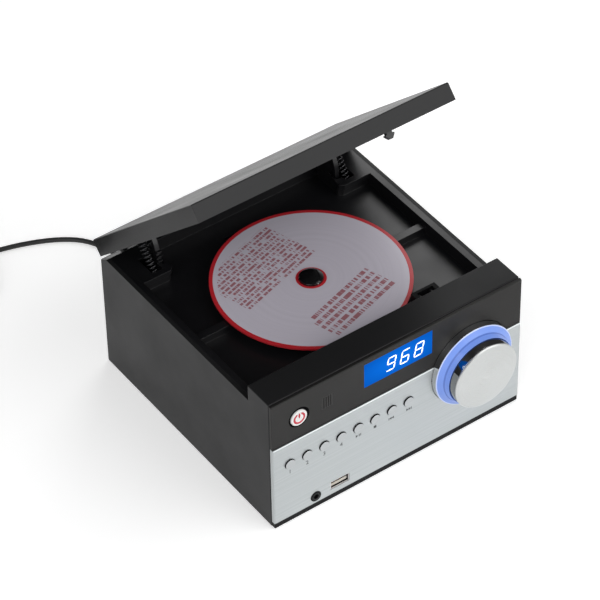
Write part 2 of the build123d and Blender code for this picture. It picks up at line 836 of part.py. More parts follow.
with BuildPart() as lid_shell:
    with BuildSketch(lid_plane.offset(lid_bottom)):
        with Locations((0, (lid_front + hinge_in) / 2)):
            Rectangle(body_w, hinge_in - lid_front)
    extrude(amount=lid_top - lid_bottom)
    fillet(lid_shell.faces().sort_by(lid_up)[-1].edges(), edge_r)
    with BuildSketch(lid_plane.offset(lid_bottom)):
        with Locations((0, (lid_front + hinge_in) / 2)):
            Rectangle(body_w - 2 * lid_wall, hinge_in - lid_front - 2 * lid_wall)
    extrude(amount=lid_top - lid_skin - lid_bottom, mode=Mode.SUBTRACT)
    with BuildSketch(lid_plane.offset(lid_bottom)):
        for side in (-1, 1):
            with Locations((side * (notch_x + notch_w / 2), hinge_in - lid_wall / 2)):
                Rectangle(notch_w, lid_wall + 1)
    extrude(amount=notch_top - lid_bottom, mode=Mode.SUBTRACT)
finish(lid_shell, "lid_shell")

# Liner inside the lid, with its hinge knuckles, the two arms and the striker
liner_w = body_w - 2 * lid_wall - 2 * fit_gap
liner_front = lid_front + lid_wall + fit_gap
liner_back = -(knuckle_r + 1.0)
tooth = 1.0
tooth_rise = 0.75
tooth_drop = 1.1
tooth_w = 1.85
tooth_lean = 76
sector_teeth = 50
sector_first = 4
sector_count = 9
arm_end = 86.0
striker_y = latch_y - hinge_y
striker_stem = 4.0
striker_head = 6.2
striker_drop = 4.5
striker_t = 3.0
cup_r = 4.3


def lid_polar(radius, degrees):
    """A point in the lid's section, `radius` from the hinge and `degrees` below its level, to the front."""
    turn = math.radians(degrees)
    return (-radius * math.cos(turn), -radius * math.sin(turn))


def arm_outline(outer_r, end):
    """Draw the strip of an arm, from the liner to `end` degrees, in the current sketch."""
    with BuildLine(Plane.XY) as strip:
        ThreePointArc(lid_polar(outer_r, -8), lid_polar(outer_r, end / 2), lid_polar(outer_r, end))
        Line(lid_polar(outer_r, end), lid_polar(arm_r_in, end))
        ThreePointArc(lid_polar(arm_r_in, end), lid_polar(arm_r_in, end / 2), lid_polar(arm_r_in, -8))
        Line(lid_polar(arm_r_in, -8), lid_polar(outer_r, -8))
    make_face(strip.edges())


def tooth_ring(pitch_r, count, first, total):
    """Draw `count` teeth of a gear of `total` teeth in the current sketch, the first at `first` degrees."""
    height = tooth_rise + tooth_drop + 0.2
    middle = pitch_r + tooth_rise - height / 2
    with PolarLocations(middle, count, start_angle=first, angular_range=360 * count / total):
        Trapezoid(tooth_w, height, tooth_lean, rotation=-90)


with BuildPart() as lid_liner:
    with BuildSketch(lid_plane.offset(liner_z)):
        with Locations((0, (liner_front + liner_back) / 2)):
            Rectangle(liner_w, liner_back - liner_front)
    extrude(amount=liner_t)
    for side in (-1, 1):
        with BuildSketch(lid_side(side * knuckle_x)):
            Circle(knuckle_r)
            with Locations((-liner_t - knuckle_r, (liner_z + liner_t) / 2)):
                Rectangle(2 * (liner_t + knuckle_r), liner_z + liner_t)
        extrude(amount=knuckle_w / 2, both=True)
        with BuildSketch(lid_side(side * knuckle_x)):
            Circle(pin_r + pin_clear)
        extrude(amount=knuckle_w, both=True, mode=Mode.SUBTRACT)
        # Cup round the head of the spring
        with BuildSketch(lid_plane.offset(liner_z)):
            with Locations((side * spring_x, -spring_top_in)):
                Circle(cup_r)
                Circle(cup_r - 0.9, mode=Mode.SUBTRACT)
        extrude(amount=-1.2)
    # Plain arm on the right, with a hook at its end that meets the stop
    with BuildSketch(lid_side(arm_x)):
        arm_outline(arm_pitch_r, arm_end)
        with BuildLine():
            Polyline(
                lid_polar(arm_pitch_r - 1, arm_end),
                lid_polar(stop_r - 0.4, arm_end),
                lid_polar(stop_r - 0.4, arm_end - 5),
                lid_polar(arm_pitch_r - 1, arm_end - 6),
                close=True,
            )
        make_face()
    extrude(amount=arm_t / 2, both=True)
    # Toothed arm on the left, in mesh with the damper's gear
    with BuildSketch(lid_side(-arm_x)):
        arm_outline(arm_pitch_r - tooth_drop, arm_end + 1)
        tooth_ring(arm_pitch_r, sector_count, 180 + sector_first * 360 / sector_teeth, sector_teeth)
    extrude(amount=arm_t / 2, both=True)
    # Striker that the latch takes
    with BuildSketch(lid_face(striker_y)):
        with BuildLine():
            Polyline(
                (latch_x - striker_stem / 2, liner_z),
                (latch_x - striker_stem / 2, lid_bottom - 1.4),
                (latch_x - striker_head / 2, lid_bottom - 1.4),
                (latch_x - striker_head / 2, lid_bottom - 2.2),
                (latch_x - 1, lid_bottom - striker_drop),
                (latch_x + 1, lid_bottom - striker_drop),
                (latch_x + striker_head / 2, lid_bottom - 2.2),
                (latch_x + striker_head / 2, lid_bottom - 1.4),
                (latch_x + striker_stem / 2, lid_bottom - 1.4),
                (latch_x + striker_stem / 2, liner_z),
                close=True,
            )
        make_face()
    extrude(amount=striker_t / 2, both=True)
finish(lid_liner, "lid_liner")

# Rotary damper beside the left arm
damper_r = 4.4
damper_l = 8.0
damper_gap = 0.4
damper_x = -arm_x - arm_t / 2
damper_teeth = 10
mesh_turn = 180 + math.degrees(gear_angle)
sector_pitch = 360 / sector_teeth
tooth_turn = 180 - open_angle + sector_pitch * round((mesh_turn - 180 + open_angle) / sector_pitch)
damper_turn = mesh_turn - 180 - (tooth_turn - mesh_turn) * sector_teeth / damper_teeth + 180 / damper_teeth

with BuildPart() as damper_gear:
    with BuildSketch(side_plane(damper_x)):
        with Locations((gear_y, gear_z)):
            Circle(gear_r - tooth_drop)
            tooth_ring(gear_r, damper_teeth, damper_turn, damper_teeth)
    extrude(amount=arm_t)
    with BuildSketch(side_plane(damper_x + arm_t)):
        with Locations((gear_y, gear_z)):
            Circle(1.5)
    extrude(amount=damper_l - 1.5)
finish(damper_gear, "damper_gear")

with BuildPart() as damper_body:
    with BuildSketch(side_plane(damper_x + arm_t + damper_gap)):
        with Locations((gear_y, gear_z)):
            Circle(damper_r)
        with Locations((gear_y, (gear_z + deck_under) / 2)):
            Rectangle(2 * damper_r, deck_under - gear_z)
    extrude(amount=damper_l)
    with BuildSketch(side_plane(damper_x + arm_t + damper_gap)):
        with Locations((gear_y, gear_z)):
            Circle(1.5 + pin_clear)
    extrude(amount=damper_l - 1, mode=Mode.SUBTRACT)
finish(damper_body, "damper_body")

# Latch: a housing at the front of the well, and the sprung catch that slides down in it
latch_top = rim_h + 2.7
latch_foot = rim_h - 25.0
latch_wall = 1.6
latch_cap = 1.5
catch_w = 12.6
catch_l = 4.8
latch_travel = 3.0
catch_mouth_w = 11.2
catch_run = 0.3

with BuildPart() as latch_housing:
    with BuildSketch(Plane.XY.offset(latch_foot)):
        with Locations((latch_x, latch_y)):
            Rectangle(latch_w, latch_l)
    extrude(amount=latch_top - latch_foot)
    with BuildSketch(Plane.XY.offset(latch_foot + latch_wall)):
        with Locations((latch_x, latch_y)):
            Rectangle(catch_w + 2 * catch_run, catch_l + 2 * catch_run)
    extrude(amount=latch_top - latch_cap - latch_foot - latch_wall, mode=Mode.SUBTRACT)
    with BuildSketch(Plane.XY.offset(latch_top)):
        with Locations((latch_x, latch_y)):
            Rectangle(catch_mouth_w, catch_l)
    extrude(amount=-2 * latch_cap, mode=Mode.SUBTRACT)
    with BuildSketch(Plane.XY.offset(deck_under)):
        with Locations((latch_x, latch_y)):
            Rectangle(latch_w + 8, latch_l)
            Rectangle(latch_w, latch_l, mode=Mode.SUBTRACT)
    extrude(amount=-1.6)
finish(latch_housing, "latch_housing")

jaw_gap = striker_head + 0.6
jaw_floor = rim_h - 7.0
catch_top = latch_top - latch_cap - 0.2
with BuildPart() as latch_catch:
    with BuildSketch(Plane.XY.offset(latch_foot + latch_wall + latch_travel + 0.3)):
        with Locations((latch_x, latch_y)):
            Rectangle(catch_w, catch_l)
    extrude(amount=catch_top - latch_foot - latch_wall - latch_travel - 0.3)
    with BuildSketch(Plane.XY.offset(jaw_floor)):
        with Locations((latch_x, latch_y)):
            Rectangle(jaw_gap, catch_l + 1)
    extrude(amount=latch_top - jaw_floor, mode=Mode.SUBTRACT)
finish(latch_catch, "latch_catch")

# Disc drive: chassis hung under the deck on four rubber dampers, with motor, rods and sled
drive_z = deck_under - 8.0
drive_t = 2.0
drive_x0 = -44.0
drive_x1 = 50.0
drive_y0 = hub_y - 24.1
drive_y1 = hub_y + 75.9
mount_xs = (drive_x0 + 6, drive_x1 - 6)
mount_ys = (drive_y0 + 6, drive_y1 - 6)
mount_r = 4.0
rod_x = 14.0
rod_r = 1.5
rod_z = deck_under - 3.0
rod_run = 0.06
rod_end_t = 2.5
lens_y = hub_y + 24
sled_travel = 34.0
sled_l = 18.0
sled_w = 36.0
sled_z0 = drive_z + drive_t + 0.5
sled_z1 = deck_under - 0.4
rod_y0 = lens_y - sled_l / 2 - 1 - 2 * rod_end_t
rod_y1 = lens_y + sled_l / 2 + sled_travel + 1 + 2 * rod_end_t
rack_back = 1.6
rack_x = sled_w / 2 - 0.5 + rack_back + tooth_drop
sled_gear_r = 8.0
sled_gear_teeth = 16
pinion_r = 5.0
pinion_teeth = 10
rack_pitch = math.pi * tooth
rack_teeth = 13
rack_run = (rack_teeth - 1) * rack_pitch
rack_y0 = lens_y - 21
sled_gear_x = rack_x + sled_gear_r
pinion_x = sled_gear_x + sled_gear_r + pinion_r
mesh_y = rack_y0 + rack_run - rack_pitch
gear_z0 = drive_z + drive_t + 0.8
gear_t = 3.0
motor_r = 12.0
motor_h = 11.0
shaft_thin = 1.0
hub_r = 14.0
disc_z = disc_top - disc_t
boss_top = disc_top + 1.2
dome_top = disc_top + 3.3
hub_boss_r = disc_bore_r - 0.15

with BuildPart() as drive_chassis:
    with BuildSketch(Plane.XY.offset(drive_z)):
        with Locations(((drive_x0 + drive_x1) / 2, (drive_y0 + drive_y1) / 2)):
            RectangleRounded(drive_x1 - drive_x0, drive_y1 - drive_y0, 4)
        with Locations((0, hub_y)):
            Circle(3.2, mode=Mode.SUBTRACT)
        with Locations((pinion_x, mesh_y)):
            Circle(2.2, mode=Mode.SUBTRACT)
        with Locations((0, lens_y + sled_travel / 2)):
            RectangleRounded(18, sled_travel + 16, 0.5, mode=Mode.SUBTRACT)
    extrude(amount=drive_t)
    with BuildSketch(Plane.XY.offset(drive_z + drive_t)):
        with Locations((0, rod_y0 + rod_end_t / 2), (0, rod_y1 - rod_end_t / 2)):
            Rectangle(sled_w - 2, rod_end_t)
    extrude(amount=rod_z + rod_r + 0.8 - drive_z - drive_t)
    with BuildSketch(Plane.XY.offset(drive_z + drive_t)):
        with Locations((sled_gear_x, mesh_y)):
            Circle(shaft_thin + 0.5)
    extrude(amount=gear_t + 1.6)
    with BuildSketch(Plane(origin=(0, rod_y0 - 1, 0), x_dir=(1, 0, 0), z_dir=(0, -1, 0))):
        with Locations((-rod_x, rod_z), (rod_x, rod_z)):
            Circle(rod_r)
    extrude(amount=-(rod_y1 - rod_y0 + 2), mode=Mode.SUBTRACT)
finish(drive_chassis, "drive_chassis")

with BuildPart() as drive_mounts:
    with BuildSketch(Plane.XY.offset(drive_z + drive_t)):
        for mount_y in mount_ys:
            with Locations((mount_xs[0], mount_y), (mount_xs[1], mount_y)):
                Circle(mount_r)
    extrude(amount=deck_under - drive_z - drive_t)
finish(drive_mounts, "drive_mounts")

with BuildPart() as guide_rods:
    with BuildSketch(Plane(origin=(0, rod_y0, 0), x_dir=(1, 0, 0), z_dir=(0, -1, 0))):
        with Locations((-rod_x, rod_z), (rod_x, rod_z)):
            Circle(rod_r)
    extrude(amount=-(rod_y1 - rod_y0))
finish(guide_rods, "guide_rods")

with BuildPart() as spindle_motor:
    with BuildSketch(Plane.XY.offset(drive_z - motor_h)):
        with Locations((0, hub_y)):
            Circle(motor_r)
    extrude(amount=motor_h)
    with BuildSketch(Plane.XY.offset(drive_z)):
        with Locations((0, hub_y)):
            Circle(3.0)
    extrude(amount=drive_t + 0.6)
    with BuildSketch(Plane.XY.offset(drive_z - motor_h + 1)):
        with Locations((0, hub_y)):
            Circle(shaft_thin + pin_clear)
    extrude(amount=motor_h + drive_t, mode=Mode.SUBTRACT)
finish(spindle_motor, "spindle_motor")

# Hub: table under the disc, boss through its bore, domed cap with three spring balls round it
hub_axis = Plane(origin=(0, hub_y, 0), x_dir=(1, 0, 0), z_dir=(0, -1, 0))
with BuildPart() as disc_hub:
    with BuildSketch(hub_axis):
        with BuildLine():
            Polyline(
                (0, dome_top),
                (0, drive_z - motor_h + 1.5),
                (shaft_thin, drive_z - motor_h + 1.5),
                (shaft_thin, drive_z + drive_t + 1.2),
                (6, drive_z + drive_t + 1.2),
                (6, disc_z - 2.4),
                (hub_r, disc_z - 1.4),
                (hub_r, disc_z),
                (hub_boss_r, disc_z),
                (hub_boss_r, boss_top),
            )
            ThreePointArc((hub_boss_r, boss_top), *dome_arc(hub_boss_r, boss_top, dome_top))
        make_face()
    revolve(axis=Axis((0, hub_y, 0), (0, 0, 1)))
    with Locations((0, hub_y, disc_top + 0.3)):
        with PolarLocations(hub_boss_r - 0.95, 3, start_angle=30):
            Cylinder(1.05, 2.1, mode=Mode.SUBTRACT)
finish(disc_hub, "disc_hub")

with BuildPart() as hub_balls:
    with Locations((0, hub_y, disc_top + 0.3)):
        with PolarLocations(hub_boss_r - 0.95, 3, start_angle=30):
            Sphere(1.0)
finish(hub_balls, "hub_balls")

with BuildPart() as disc:
    with BuildSketch(Plane.XY.offset(disc_z)):
        with Locations((0, hub_y)):
            Circle(disc_r)
            Circle(disc_bore_r, mode=Mode.SUBTRACT)
    extrude(amount=disc_t)
finish(disc, "disc")

# Pickup sled on the rods, with its rack, and the lens in its sliding holder
pin_depth = 4.0
holder_z0 = deck_under + 1.4
holder_t = 2.2
lens_r = 2.2
lens_rise = 0.9
lens_z = holder_z0 + holder_t
with BuildPart() as sled:
    with BuildSketch(Plane.XY.offset(sled_z0)):
        with Locations((0, lens_y)):
            Rectangle(sled_w, sled_l)
    extrude(amount=sled_z1 - sled_z0)
    with BuildSketch(Plane.XY.offset(sled_z0)):
        with Locations((0, lens_y)):
            Rectangle(16, 14)
    extrude(amount=-drive_t - 3)
    with BuildSketch(Plane.XY.offset(sled_z1)):
        with Locations((0, lens_y)):
            Circle(5.5)
    extrude(amount=holder_z0 - 0.8 - sled_z1)
    with BuildSketch(Plane(origin=(0, lens_y - sled_l, 0), x_dir=(1, 0, 0), z_dir=(0, -1, 0))):
        with Locations((-rod_x, rod_z), (rod_x, rod_z)):
            Circle(rod_r + rod_run)
    extrude(amount=-2 * sled_l, mode=Mode.SUBTRACT)
    with BuildSketch(Plane.XY.offset(gear_z0)):
        with Locations((rack_x - tooth_drop - rack_back / 2, rack_y0 + rack_run / 2)):
            Rectangle(rack_back, rack_run + tooth_w + 0.5)
        with Locations(*[(rack_x - (tooth_drop - tooth_rise) / 2 - 0.1, rack_y0 + i * rack_pitch)
                         for i in range(rack_teeth)]):
            Trapezoid(tooth_w, tooth_rise + tooth_drop + 0.2, tooth_lean, rotation=-90)
    extrude(amount=gear_t)
    with BuildSketch(Plane.XY.offset(holder_z0)):
        with Locations((0, lens_y)):
            Circle(shaft_thin + rod_run)
    extrude(amount=-pin_depth - 1.5, mode=Mode.SUBTRACT)
finish(sled, "sled")

with BuildPart() as lens_holder:
    with BuildSketch(Plane.XY.offset(holder_z0)):
        with Locations((0, lens_y)):
            RectangleRounded(13, 11, 1)
    extrude(amount=holder_t)
    with BuildSketch(Plane.XY.offset(holder_z0)):
        with Locations((0, lens_y)):
            Circle(shaft_thin)
    extrude(amount=-pin_depth)
finish(lens_holder, "lens_holder")

with BuildPart() as lens:
    with BuildSketch(Plane(origin=(0, lens_y, 0), x_dir=(1, 0, 0), z_dir=(0, -1, 0))):
        with BuildLine():
            Polyline((0, lens_z + lens_rise), (0, lens_z), (lens_r, lens_z))
            ThreePointArc((lens_r, lens_z), *dome_arc(lens_r, lens_z, lens_z + lens_rise))
        make_face()
    revolve(axis=Axis((0, lens_y, 0), (0, 0, 1)))
finish(lens, "lens")

with BuildPart() as sled_gear:
    with BuildSketch(Plane.XY.offset(gear_z0)):
        with Locations((sled_gear_x, mesh_y)):
            Circle(sled_gear_r - tooth_drop)
            tooth_ring(sled_gear_r, sled_gear_teeth, 180 + 180 / sled_gear_teeth, sled_gear_teeth)
            Circle(shaft_thin + 0.5 + pin_clear, mode=Mode.SUBTRACT)
    extrude(amount=gear_t)
finish(sled_gear, "sled_gear")

with BuildPart() as sled_pinion:
    with BuildSketch(Plane.XY.offset(gear_z0)):
        with Locations((pinion_x, mesh_y)):
            Circle(pinion_r - tooth_drop)
            tooth_ring(pinion_r, pinion_teeth, 180, pinion_teeth)
    extrude(amount=gear_t)
    with BuildSketch(Plane.XY.offset(gear_z0)):
        with Locations((pinion_x, mesh_y)):
            Circle(shaft_thin)
    extrude(amount=-(gear_z0 - drive_z + motor_h - 2))
finish(sled_pinion, "sled_pinion")

with BuildPart() as sled_motor:
    with BuildSketch(Plane.XY.offset(drive_z - motor_h)):
        with Locations((pinion_x, mesh_y)):
            Circle(8)
    extrude(amount=motor_h)
    with BuildSketch(Plane.XY.offset(drive_z - motor_h + 1)):
        with Locations((pinion_x, mesh_y)):
            Circle(shaft_thin + pin_clear)
    extrude(amount=motor_h, mode=Mode.SUBTRACT)
finish(sled_motor, "sled_motor")

# Boards and the heavy parts on the base
with BuildPart() as main_board:
    with BuildSketch(Plane.XY.offset(board_z)):
        with Locations((board_x, board_y0 + board_l / 2)):
            Rectangle(board_w, board_l)
    extrude(amount=1.6)
finish(main_board, "main_board")

core_x = -(in_x - 28.5)
core_y = front + 128
core_z = base_z + base_t
core_w = 48.0
core_h = 40.0
core_t = 20.0
winding_w = 31.4
winding_l = 43.4
with BuildPart() as transformer:
    with BuildSketch(Plane(origin=(0, core_y, 0), x_dir=(1, 0, 0), z_dir=(0, -1, 0))):
        with Locations((core_x, core_z + core_h / 2)):
            Rectangle(core_w, core_h)
    extrude(amount=core_t / 2, both=True)
    with BuildSketch(Plane.XY.offset(core_z + 8)):
        with Locations((core_x, core_y)):
            RectangleRounded(winding_w, winding_l, 5)
    extrude(amount=core_h - 16)
finish(transformer, "transformer")


# Wound forms: a tube on pairs of arcs through points that a formula gives, with the tangent at each
def meet(p0, t0, p1, t1):
    """Where the two arcs of a pair meet, and the tangent there."""
    v = p1 - p0
    a = 2 * (t0.dot(t1) - 1)
    b = -2 * v.dot(t0 + t1)
    c = v.dot(v)
    if abs(a) < 1e-9:
        d = -c / b
    else:
        d = (-b - math.sqrt(b * b - 4 * a * c)) / (2 * a)
    q0 = p0 + t0 * d
    q1 = p1 - t1 * d
    return (q0 + q1) * 0.5, (q1 - q0).normalized()


def least_gap(points, width, skip):
    """The least gap between turns of a tube `width` across, along `points`; near neighbours are skipped."""
    least = math.inf
    for i, p in enumerate(points):
        for q in points[i + skip:]:
            least = min(least, (p - q).length)
    return least - width


# Lid springs, drawn at their open length
spring_turns = 12
spring_margin = wire_d / 2 + 0.02
lean_v = Vector(*lean)
side_v = Vector(1, 0, 0)
across_v = lean_v.cross(side_v)
spring_rise = (spring_len - 2 * spring_margin) / (2 * math.pi * spring_turns)


def spring_at(turn):
    """The point and tangent of the spring's wire at `turn` radians, from the foot of its axis."""
    out = side_v * math.cos(turn) + across_v * math.sin(turn)
    along = across_v * math.cos(turn) - side_v * math.sin(turn)
    point = out * spring_r + lean_v * (spring_margin + spring_rise * turn)
    return point, (along * spring_r + lean_v * spring_rise).normalized()


for side, name in ((-1, "lid_spring_left"), (1, "lid_spring_right")):
    foot = Vector(side * spring_x, seat_y, seat_z)
    with BuildPart() as lid_spring:
        with BuildLine() as coil_path:
            for half in range(2 * spring_turns):
                start, start_way = spring_at(half * math.pi)
                end, end_way = spring_at((half + 1) * math.pi)
                middle, middle_way = meet(start, start_way, end, end_way)
                TangentArc(foot + start, foot + middle, tangent=start_way)
                TangentArc(foot + middle, foot + end, tangent=middle_way)
        with BuildSketch(Plane(origin=coil_path.line @ 0, z_dir=coil_path.line % 0)):
            Circle(wire_d / 2)
        sweep(path=coil_path.line)
    finish(lid_spring, name)
steps = [spring_at(i * math.pi / 12)[0] for i in range(24 * spring_turns + 1)]
print(f"lid spring: {spring_turns} turns, least gap {least_gap(steps, wire_d, 12):.2f} mm")

# Mains lead: out through a boot in the rear panel, down to the table and away to the left, where it is
# put away as a tied coil with its plug beside it
lead_d = 3.2
lead_r = lead_d / 2
boot_l = 20.0
boot_r0 = 3.7
boot_r1 = 2.5
coil_turns = 12
coil_layers = 4
coil_step = lead_d + 0.5
coil_in_r = 11.9
coil_x = -136.0
coil_y = front + 278.5
tie_t = 0.8
tie_w = 4.0
tie_gap = 0.4
coil_z = lead_r + tie_gap + tie_t + 0.1

boot_axis = Plane(origin=(lead_x, back, lead_z), x_dir=(1, 0, 0), z_dir=(0, 0, 1))
with BuildPart() as lead_boot:
    with BuildSketch(boot_axis):
        with BuildLine():
            Polyline(
                (lead_r + 0.05, -wall - back_panel_t - 1.6),
                (lead_hole_r + 1.5, -wall - back_panel_t - 1.6),
                (lead_hole_r + 1.5, -wall - back_panel_t + 0.2),
                (lead_hole_r - 0.1, -wall - back_panel_t + 0.2),
                (lead_hole_r - 0.1, -0.5),
                (lead_hole_r + 1.2, -0.5),
                (lead_hole_r + 1.2, 1.2),
                (boot_r0, 1.8),
                (boot_r1, boot_l),
                (lead_r + 0.05, boot_l),
                close=True,
            )
        make_face()
    revolve(axis=Axis((lead_x, back, lead_z), (0, 1, 0)))
finish(lead_boot, "lead_boot")

spiral_ends = (5.5 * math.pi, 11.5 * math.pi, 17.5 * math.pi)


def spiral_at(turn):
    """Radius, height and radial way of the coil's middle line at `turn` radians from its start."""
    rate = coil_step / (2 * math.pi)
    radius = coil_in_r + rate * spiral_ends[0]
    height = coil_z
    way = -1
    last = 0
    for end in spiral_ends:
        if turn <= end:
            break
        radius += way * rate * (end - last)
        way = -way
        last = end
    radius += way * rate * (turn - last)
    for end in spiral_ends:
        climb = (turn - end) / math.pi + 0.5
        height += coil_step * min(max(climb, 0), 1)
    return radius, height, way * rate


def coil_at(turn):
    """The point and tangent of the coiled lead at `turn` radians from its start."""
    radius, height, way = spiral_at(turn)
    place = math.pi / 2 + turn
    out = Vector(math.cos(place), math.sin(place), 0)
    along = Vector(-math.sin(place), math.cos(place), 0)
    return Vector(coil_x, coil_y, height) + out * radius, (along * radius + out * way).normalized()


def corner_radii(points):
    """The radius of each corner of a lead, from the shorter of the two runs that meet there."""
    radii = []
    for a, b, c in zip(points, points[1:], points[2:]):
        before = Vector(b) - Vector(a)
        after = Vector(c) - Vector(b)
        turn = math.radians(before.get_angle(after))
        radii.append(0.45 * min(before.length, after.length) / math.tan(turn / 2))
    return radii


coil_start, start_way = coil_at(0)
coil_end, end_way = coil_at(2 * math.pi * coil_turns)
lead_points = [
    (lead_x, back + 1.5, lead_z),
    (lead_x, front + 212, lead_z),
    (-31.5, front + 245, lead_r),
    (-38.5, front + 270.5, lead_r),
    (-54, front + 285, lead_r),
    (-80, front + 296.5, lead_r),
    tuple(coil_start - start_way * 26),
    tuple(coil_start),
]
plug_z = 7.0
tail_points = [
    tuple(coil_end),
    tuple(coil_end + end_way * 24),
    tuple(coil_end + end_way * 52 + Vector(0, -7, plug_z - coil_end.Z)),
    tuple(coil_end + end_way * 72 + Vector(0, -19, plug_z - coil_end.Z)),
]
lead_radii = corner_radii(lead_points)
tail_radii = corner_radii(tail_points)
print("lead corner radii:", [round(r, 1) for r in lead_radii + tail_radii])
with BuildPart() as mains_lead:
    with BuildLine() as lead_path:
        FilletPolyline(*lead_points, radius=lead_radii)
        for half in range(2 * coil_turns):
            start, start_way = coil_at(half * math.pi)
            end, end_way = coil_at((half + 1) * math.pi)
            middle, middle_way = meet(start, start_way, end, end_way)
            TangentArc(start, middle, tangent=start_way)
            TangentArc(middle, end, tangent=middle_way)
        FilletPolyline(*tail_points, radius=tail_radii)
    with BuildSketch(Plane(origin=lead_path.line @ 0, z_dir=lead_path.line % 0)):
        Circle(lead_r)
    sweep(path=lead_path.line)
finish(mains_lead, "mains_lead")
lead_len = sum(edge.length for edge in lead_path.edges())
print(f"mains lead: {lead_len / 1000:.2f} m, volume over section x length "
      f"{mains_lead.part.volume / (math.pi * lead_r ** 2 * lead_len):.4f}")
steps = [coil_at(i * math.pi / 12)[0] for i in range(24 * coil_turns + 1)]
print(f"coil: {coil_turns} turns, least gap {least_gap(steps, lead_d, 12):.2f} mm")

# Tie round the coil and the plug at the end of the lead
coil_out_r = max(spiral_at(turn)[0] for turn in spiral_ends) + 0.25 * coil_step
bundle_w = coil_out_r - coil_in_r + lead_d + 2 * tie_gap
bundle_h = (coil_layers - 1) * coil_step + lead_d + 2 * tie_gap
with BuildPart() as coil_tie:
    with BuildSketch(Plane(origin=(0, coil_y, 0), x_dir=(1, 0, 0), z_dir=(0, -1, 0))):
        with Locations((coil_x - (coil_out_r + coil_in_r) / 2, coil_z + (coil_layers - 1) * coil_step / 2)):
            RectangleRounded(bundle_w + 2 * tie_t, bundle_h + 2 * tie_t, 2)
            RectangleRounded(bundle_w, bundle_h, 2 - tie_t, mode=Mode.SUBTRACT)
    extrude(amount=tie_w / 2, both=True)
finish(coil_tie, "coil_tie")

plug_l = 34.0
plug_pin_r = 2.0
plug_pin_l = 19.0
plug_pin_pitch = 19.0
plug_way = lead_path.line % 1
plug_plane = Plane(origin=lead_path.line @ 1, x_dir=plug_way.cross(Vector(0, 0, 1)), z_dir=plug_way)
with BuildPart() as mains_plug:
    with BuildSketch(plug_plane):
        RectangleRounded(6.6, 6.6, 3)
    with BuildSketch(plug_plane.offset(13)):
        RectangleRounded(22, 12.4, 5)
    with BuildSketch(plug_plane.offset(plug_l)):
        RectangleRounded(34, 13.4, 5)
    loft()
    with BuildSketch(plug_plane.offset(plug_l)):
        with GridLocations(plug_pin_pitch, 1, 2, 1):
            Circle(plug_pin_r)
    extrude(amount=plug_pin_l)
finish(mains_plug, "mains_plug")
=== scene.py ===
# %% [markdown]
# A small disc radio, dressed for its portrait. The solid parts come ready from the CAD model, in
# metres and in place, so this lesson adds what a CAD solid can't say: the light, the finishes, and
# the small soft or thin things such as the mains lead, the wound springs, the printed marks and the
# lit digits. Each step is a cell, with a note before it on what the real thing is.

import math

import bpy
from mathutils import Matrix, Vector


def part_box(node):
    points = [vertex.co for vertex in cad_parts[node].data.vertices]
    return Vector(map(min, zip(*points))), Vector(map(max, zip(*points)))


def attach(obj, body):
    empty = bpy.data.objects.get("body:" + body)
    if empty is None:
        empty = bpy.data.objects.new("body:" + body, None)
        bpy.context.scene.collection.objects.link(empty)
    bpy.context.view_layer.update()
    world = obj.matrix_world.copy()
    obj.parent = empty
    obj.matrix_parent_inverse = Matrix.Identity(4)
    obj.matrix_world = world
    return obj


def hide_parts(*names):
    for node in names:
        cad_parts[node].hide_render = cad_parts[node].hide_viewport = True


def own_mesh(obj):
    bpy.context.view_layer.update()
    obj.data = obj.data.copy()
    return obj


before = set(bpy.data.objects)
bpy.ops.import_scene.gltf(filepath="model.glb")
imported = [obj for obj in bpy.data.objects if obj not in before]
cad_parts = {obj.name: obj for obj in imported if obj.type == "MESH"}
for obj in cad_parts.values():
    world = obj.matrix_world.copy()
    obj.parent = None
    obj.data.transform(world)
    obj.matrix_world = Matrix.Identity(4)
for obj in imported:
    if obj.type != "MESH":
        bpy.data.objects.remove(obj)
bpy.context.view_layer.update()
bpy.ops.object.select_all(action="DESELECT")
print("nodes from the CAD model:", len(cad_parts))

# %% [markdown]
# The camera stands where the photographer stood: a long lens, about two metres off, to the left of
# the set and well above it. A long lens keeps the box's edges nearly parallel, as they are in the
# picture. The numbers come from fitting a camera to the straight edges of the set.

# %% Camera
azimuth = math.radians(-34.9604)
height_angle = math.radians(43.0596)
roll = math.radians(-1.13884)
aside, raised, away = -0.0580386, 0.0964832, 1.907281
focal_pixels = 3246.374
picture_width = 600
film_width = 36
front_y = -0.0834

back = Vector((
    math.sin(azimuth) * math.cos(height_angle),
    -math.cos(azimuth) * math.cos(height_angle),
    math.sin(height_angle),
))
level_right = Vector((math.cos(azimuth), math.sin(azimuth), 0))
level_up = back.cross(level_right)
right = level_right * math.cos(roll) + level_up * math.sin(roll)
up = level_up * math.cos(roll) - level_right * math.sin(roll)
stand = right * aside + up * raised + back * away + Vector((0, front_y, 0))

lens = bpy.data.cameras.new("portrait_lens")
lens.lens = focal_pixels * film_width / picture_width
lens.sensor_width = film_width
camera = bpy.data.objects.new("camera", lens)
bpy.context.scene.collection.objects.link(camera)
camera.matrix_world = Matrix((
    (right.x, up.x, back.x, stand.x),
    (right.y, up.y, back.y, stand.y),
    (right.z, up.z, back.z, stand.z),
    (0, 0, 0, 1),
))
bpy.context.scene.camera = camera
print(f"lens {lens.lens:.1f} mm, {stand.length:.2f} m from the set")

# %% [markdown]
# A mains lead is a fixed length of soft round sheath. It leaves through the rear panel, drops to the
# table and runs off to the left, where it is put away as a tied coil. One smooth NURBS line through a
# few points bends as a real lead does, and the coil's turns are more points of that same line, taken
# from a spiral that steps out and back in four layers.

